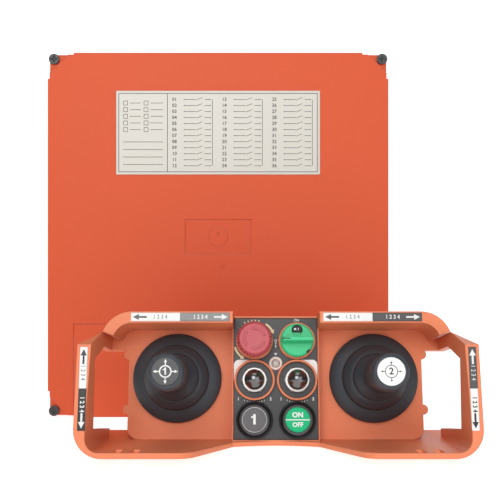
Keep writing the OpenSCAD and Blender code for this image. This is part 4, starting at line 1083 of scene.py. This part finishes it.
def build_rotary():
    """Ring and knob, the dark window with its marks, and the line on the grip bar."""
    moulding("rotary_ring", shell_plastic, edge=0.0006)
    moulding("rotary_knob", knob_green, edge=0.0007)
    bm = bmesh.new()
    bmesh.ops.create_circle(bm, cap_ends=True, segments=32, radius=NOTCH_R)
    bmesh.ops.bisect_plane(bm, geom=bm.verts[:] + bm.edges[:] + bm.faces[:], plane_co=(0, NOTCH_FLAT, 0),
                           plane_no=(0, -1, 0), clear_outer=True)
    out = bmesh.ops.extrude_face_region(bm, geom=bm.faces[:])
    top = picked(out["geom"], BMVert)
    bmesh.ops.translate(bm, verts=top, vec=(0, 0, NOTCH_DEPTH * WINDOW_T_SHARE))
    bmesh.ops.translate(bm, verts=bm.verts, vec=(0, NOTCH_V, -NOTCH_DEPTH))
    ring(bm, (0, 0), POINTER_R[0], POINTER_R[1], *POINTER_SPAN, thick=POINTER_T)
    bmesh.ops.recalc_face_normals(bm, faces=bm.faces)
    black = ink("window_black", WINDOW_BLACK)
    printed("rotary_window", bm, on_deck(COLUMN_U, ROW_TOP, KNOB_FACE), black, "rotary_knob", "knob_green")
    bm = bmesh.new()
    bar(bm, LINE_AT, LINE_SIZE)
    patch(bm, LINE_TIP)
    printed("rotary_pointer", bm, on_deck(COLUMN_U, ROW_TOP, KNOB_RIDGE), black, "rotary_knob", "knob_green")
    bm = bmesh.new()
    for (u, v), size in WINDOW_MARKS:
        bar(bm, (u, NOTCH_V + v), size)
    printed("rotary_window_mark", bm, on_deck(COLUMN_U, ROW_TOP, KNOB_FACE - NOTCH_DEPTH * MARK_DEPTH_SHARE),
            ink("window_white", PRINT_WHITE), "rotary_knob", "knob_green")


build_rotary()

# Toggles: an orange guard ring, a nickel nut whose hex is painted dark as painted shade and
# whose ring is painted bright as a painted highlight, and a glossy black cap on the lever.
NUT_RING_R = 0.0088
# One nickel in two painted tones: dark as painted shade, bright on the ring as painted highlight.
NICKEL_PAINTED_DARK = (0.270, 0.260, 0.250)
NICKEL_PAINTED_DARK_DEEP = (0.200, 0.190, 0.180)
NICKEL_PAINTED_SHINE = (0.900, 0.890, 0.880)
NICKEL_PAINTED_SHINE_DEEP = (0.800, 0.790, 0.780)
CAP_BLACK = (0.020, 0.017, 0.016)
CAP_BLACK_DEEP = (0.014, 0.012, 0.011)


def build_nuts():
    """Nuts in nickel painted dark as painted shade, with the ring and the bore inside it painted bright as a
    painted highlight.
    """
    bm = clean_copy(frame["nodes"]["toggle_nuts"].data)
    inverse = DECK.inverted()
    for face in bm.faces:
        spots = [inverse @ v.co for v in face.verts]
        reach = max(math.hypot(abs(p.x) - COLUMN_U, p.y - ROW_MID) for p in spots)
        face.material_index = 1 if reach < NUT_RING_R else 0
    bright = moulded("bright_nickel", NICKEL_PAINTED_SHINE, NICKEL_PAINTED_SHINE_DEEP, rough=0.30, skin=200.0, bump=0.05,
                     wear_and_shine=0.2, metallic=0.3)
    dull = moulded("nickel_painted_dark", NICKEL_PAINTED_DARK, NICKEL_PAINTED_DARK_DEEP, rough=0.34, skin=200.0, bump=0.05, wear_and_shine=0.3,
                   metallic=1.0)
    piece = new_piece("toggle_nuts_finished", bm, [dull, bright], "transmitter", SLOT_OF["toggle_nuts"],
                      "toggle_nuts")
    round_edges(piece, edge=0.0004)


cap_black = moulded("toggle_black", CAP_BLACK, CAP_BLACK_DEEP, rough=0.24, skin=200.0, bump=0.02, wear_and_shine=0.0,
                    coat=1.0)
set_sockets(cap_black.node_tree.nodes["Principled BSDF"], {"Coat IOR": 2.0, "Coat Roughness": 0.18})
moulding("toggle_guards", shell_plastic, edge=0.0006)
build_nuts()
for i in (1, 2):
    moulding(f"toggle_lever_{i}", cap_black, edge=0.0004)

# Lamp: a cream plastic ring in the panel, round a small domed lens moulded in clear
# plastic with a faint tint.
LAMP_CREAM = (0.830, 0.690, 0.630)
LAMP_DEEP = (0.760, 0.610, 0.550)
LENS_TINT = (0.780, 0.660, 0.600)
LENS_PALE = (0.860, 0.780, 0.730)
LENS_SHEEN = (0.05, 0.14)
LENS_SKIN_SCALE = 300.0


def build_lens_material():
    """Half-clear moulded plastic with soft patches in its tint and sheen."""
    mat, shader = new_material("lamp_lens")
    set_sockets(shader, {"Transmission Weight": 0.55, "IOR": 1.49})
    tones = add_tones(mat.node_tree, shader, LENS_SKIN_SCALE, LENS_TINT, LENS_PALE, LENS_SHEEN)[1]
    mat.node_tree.links.new(tones.outputs["Result"], shader.inputs["Base Color"])
    return mat


moulding("led_bezel", moulded("lamp_cream", LAMP_CREAM, LAMP_DEEP, rough=0.35, wear_and_shine=0.1), edge=0.0003,
         segments=2)
moulding("led_lens", build_lens_material(), edge=0.0001, segments=2)

# Push-buttons: black bezels and dark grey caps. The left insert is grey with a plain
# figure, the right one green with ON and OFF on either side of a white bar.
BUTTON_FACE = deck_box("button_insert_1")[1].z
INSERT_R = (deck_box("button_insert_1")[1].x - deck_box("button_insert_1")[0].x) / 2
BEZEL_BLACK = (0.006, 0.006, 0.008)
BEZEL_DEEP = (0.004, 0.004, 0.005)
CAP_GREY = (0.050, 0.050, 0.052)
CAP_GREY_DEEP = (0.042, 0.042, 0.044)
# Paler edge tone of the caps: partly wear, partly painted highlight.
CAP_WORN_AND_LIT = (0.160, 0.160, 0.165)
INSERT_GREY = (0.105, 0.100, 0.104)
INSERT_GREY_DEEP = (0.088, 0.084, 0.088)
INSERT_GREEN = (0.002, 0.490, 0.200)
INSERT_GREEN_DEEP = (0.002, 0.420, 0.165)
BAR_T = 0.0008
BAR_EDGE = 0.0003
FIGURE_1_SIZE = 0.0096
FIGURE_1_WEIGHT = 0.0004
RIM_LINE = (0.0004, 0.0001)
# The two words, each with its place up the insert, its size and its weight
ON_OFF = (("ON", 0.0034, 0.0050, 0.00022), ("OFF", -0.0036, 0.0044, 0.00018))
bezel_black = moulded("bezel_black", BEZEL_BLACK, BEZEL_DEEP, rough=0.45, wear_and_shine=0.1, shine=0.2)
cap_grey = moulded("cap_grey", CAP_GREY, CAP_GREY_DEEP, rough=0.40, wear_and_shine=0.5, worn_and_lit=CAP_WORN_AND_LIT)
insert_grey = moulded("insert_grey", INSERT_GREY, INSERT_GREY_DEEP, rough=0.36, wear_and_shine=0.0)
insert_green = moulded("insert_green", INSERT_GREEN, INSERT_GREEN_DEEP, rough=0.34, wear_and_shine=0.0, shine=0.25)
moulding("button_bezels", bezel_black, edge=0.0006)
for i, insert in ((1, insert_grey), (2, insert_green)):
    moulding(f"button_cap_{i}", cap_grey, edge=0.0005)
    moulding(f"button_insert_{i}", insert, edge=0.0002, segments=2)


def build_button_prints():
    """The plain figure and its rim line on the left, ON and OFF and their bar on the right."""
    figure = bmesh.new()
    write(figure, "1", (0, 0), FIGURE_1_SIZE, weight=FIGURE_1_WEIGHT)
    flag_one(figure, (0, 0), FIGURE_1_SIZE)
    ring(figure, (0, 0), INSERT_R - RIM_LINE[0], INSERT_R - RIM_LINE[1])
    printed("button_insert_1_print", figure, on_deck(-COLUMN_U, ROW_LOW, BUTTON_FACE),
            ink("figure_ink", PRINT_WHITE), "button_1", "insert_dark")
    marks = bmesh.new()
    bar(marks, (0, 0), (2 * INSERT_R - 2 * BAR_EDGE, BAR_T))
    for word, v, size, weight in ON_OFF:
        write(marks, word, (0, v), size, weight=weight)
    printed("button_insert_2_print", marks, on_deck(COLUMN_U, ROW_LOW, BUTTON_FACE),
            ink("marks_ink", PRINT_WHITE), "button_2", "insert_green")


build_button_prints()
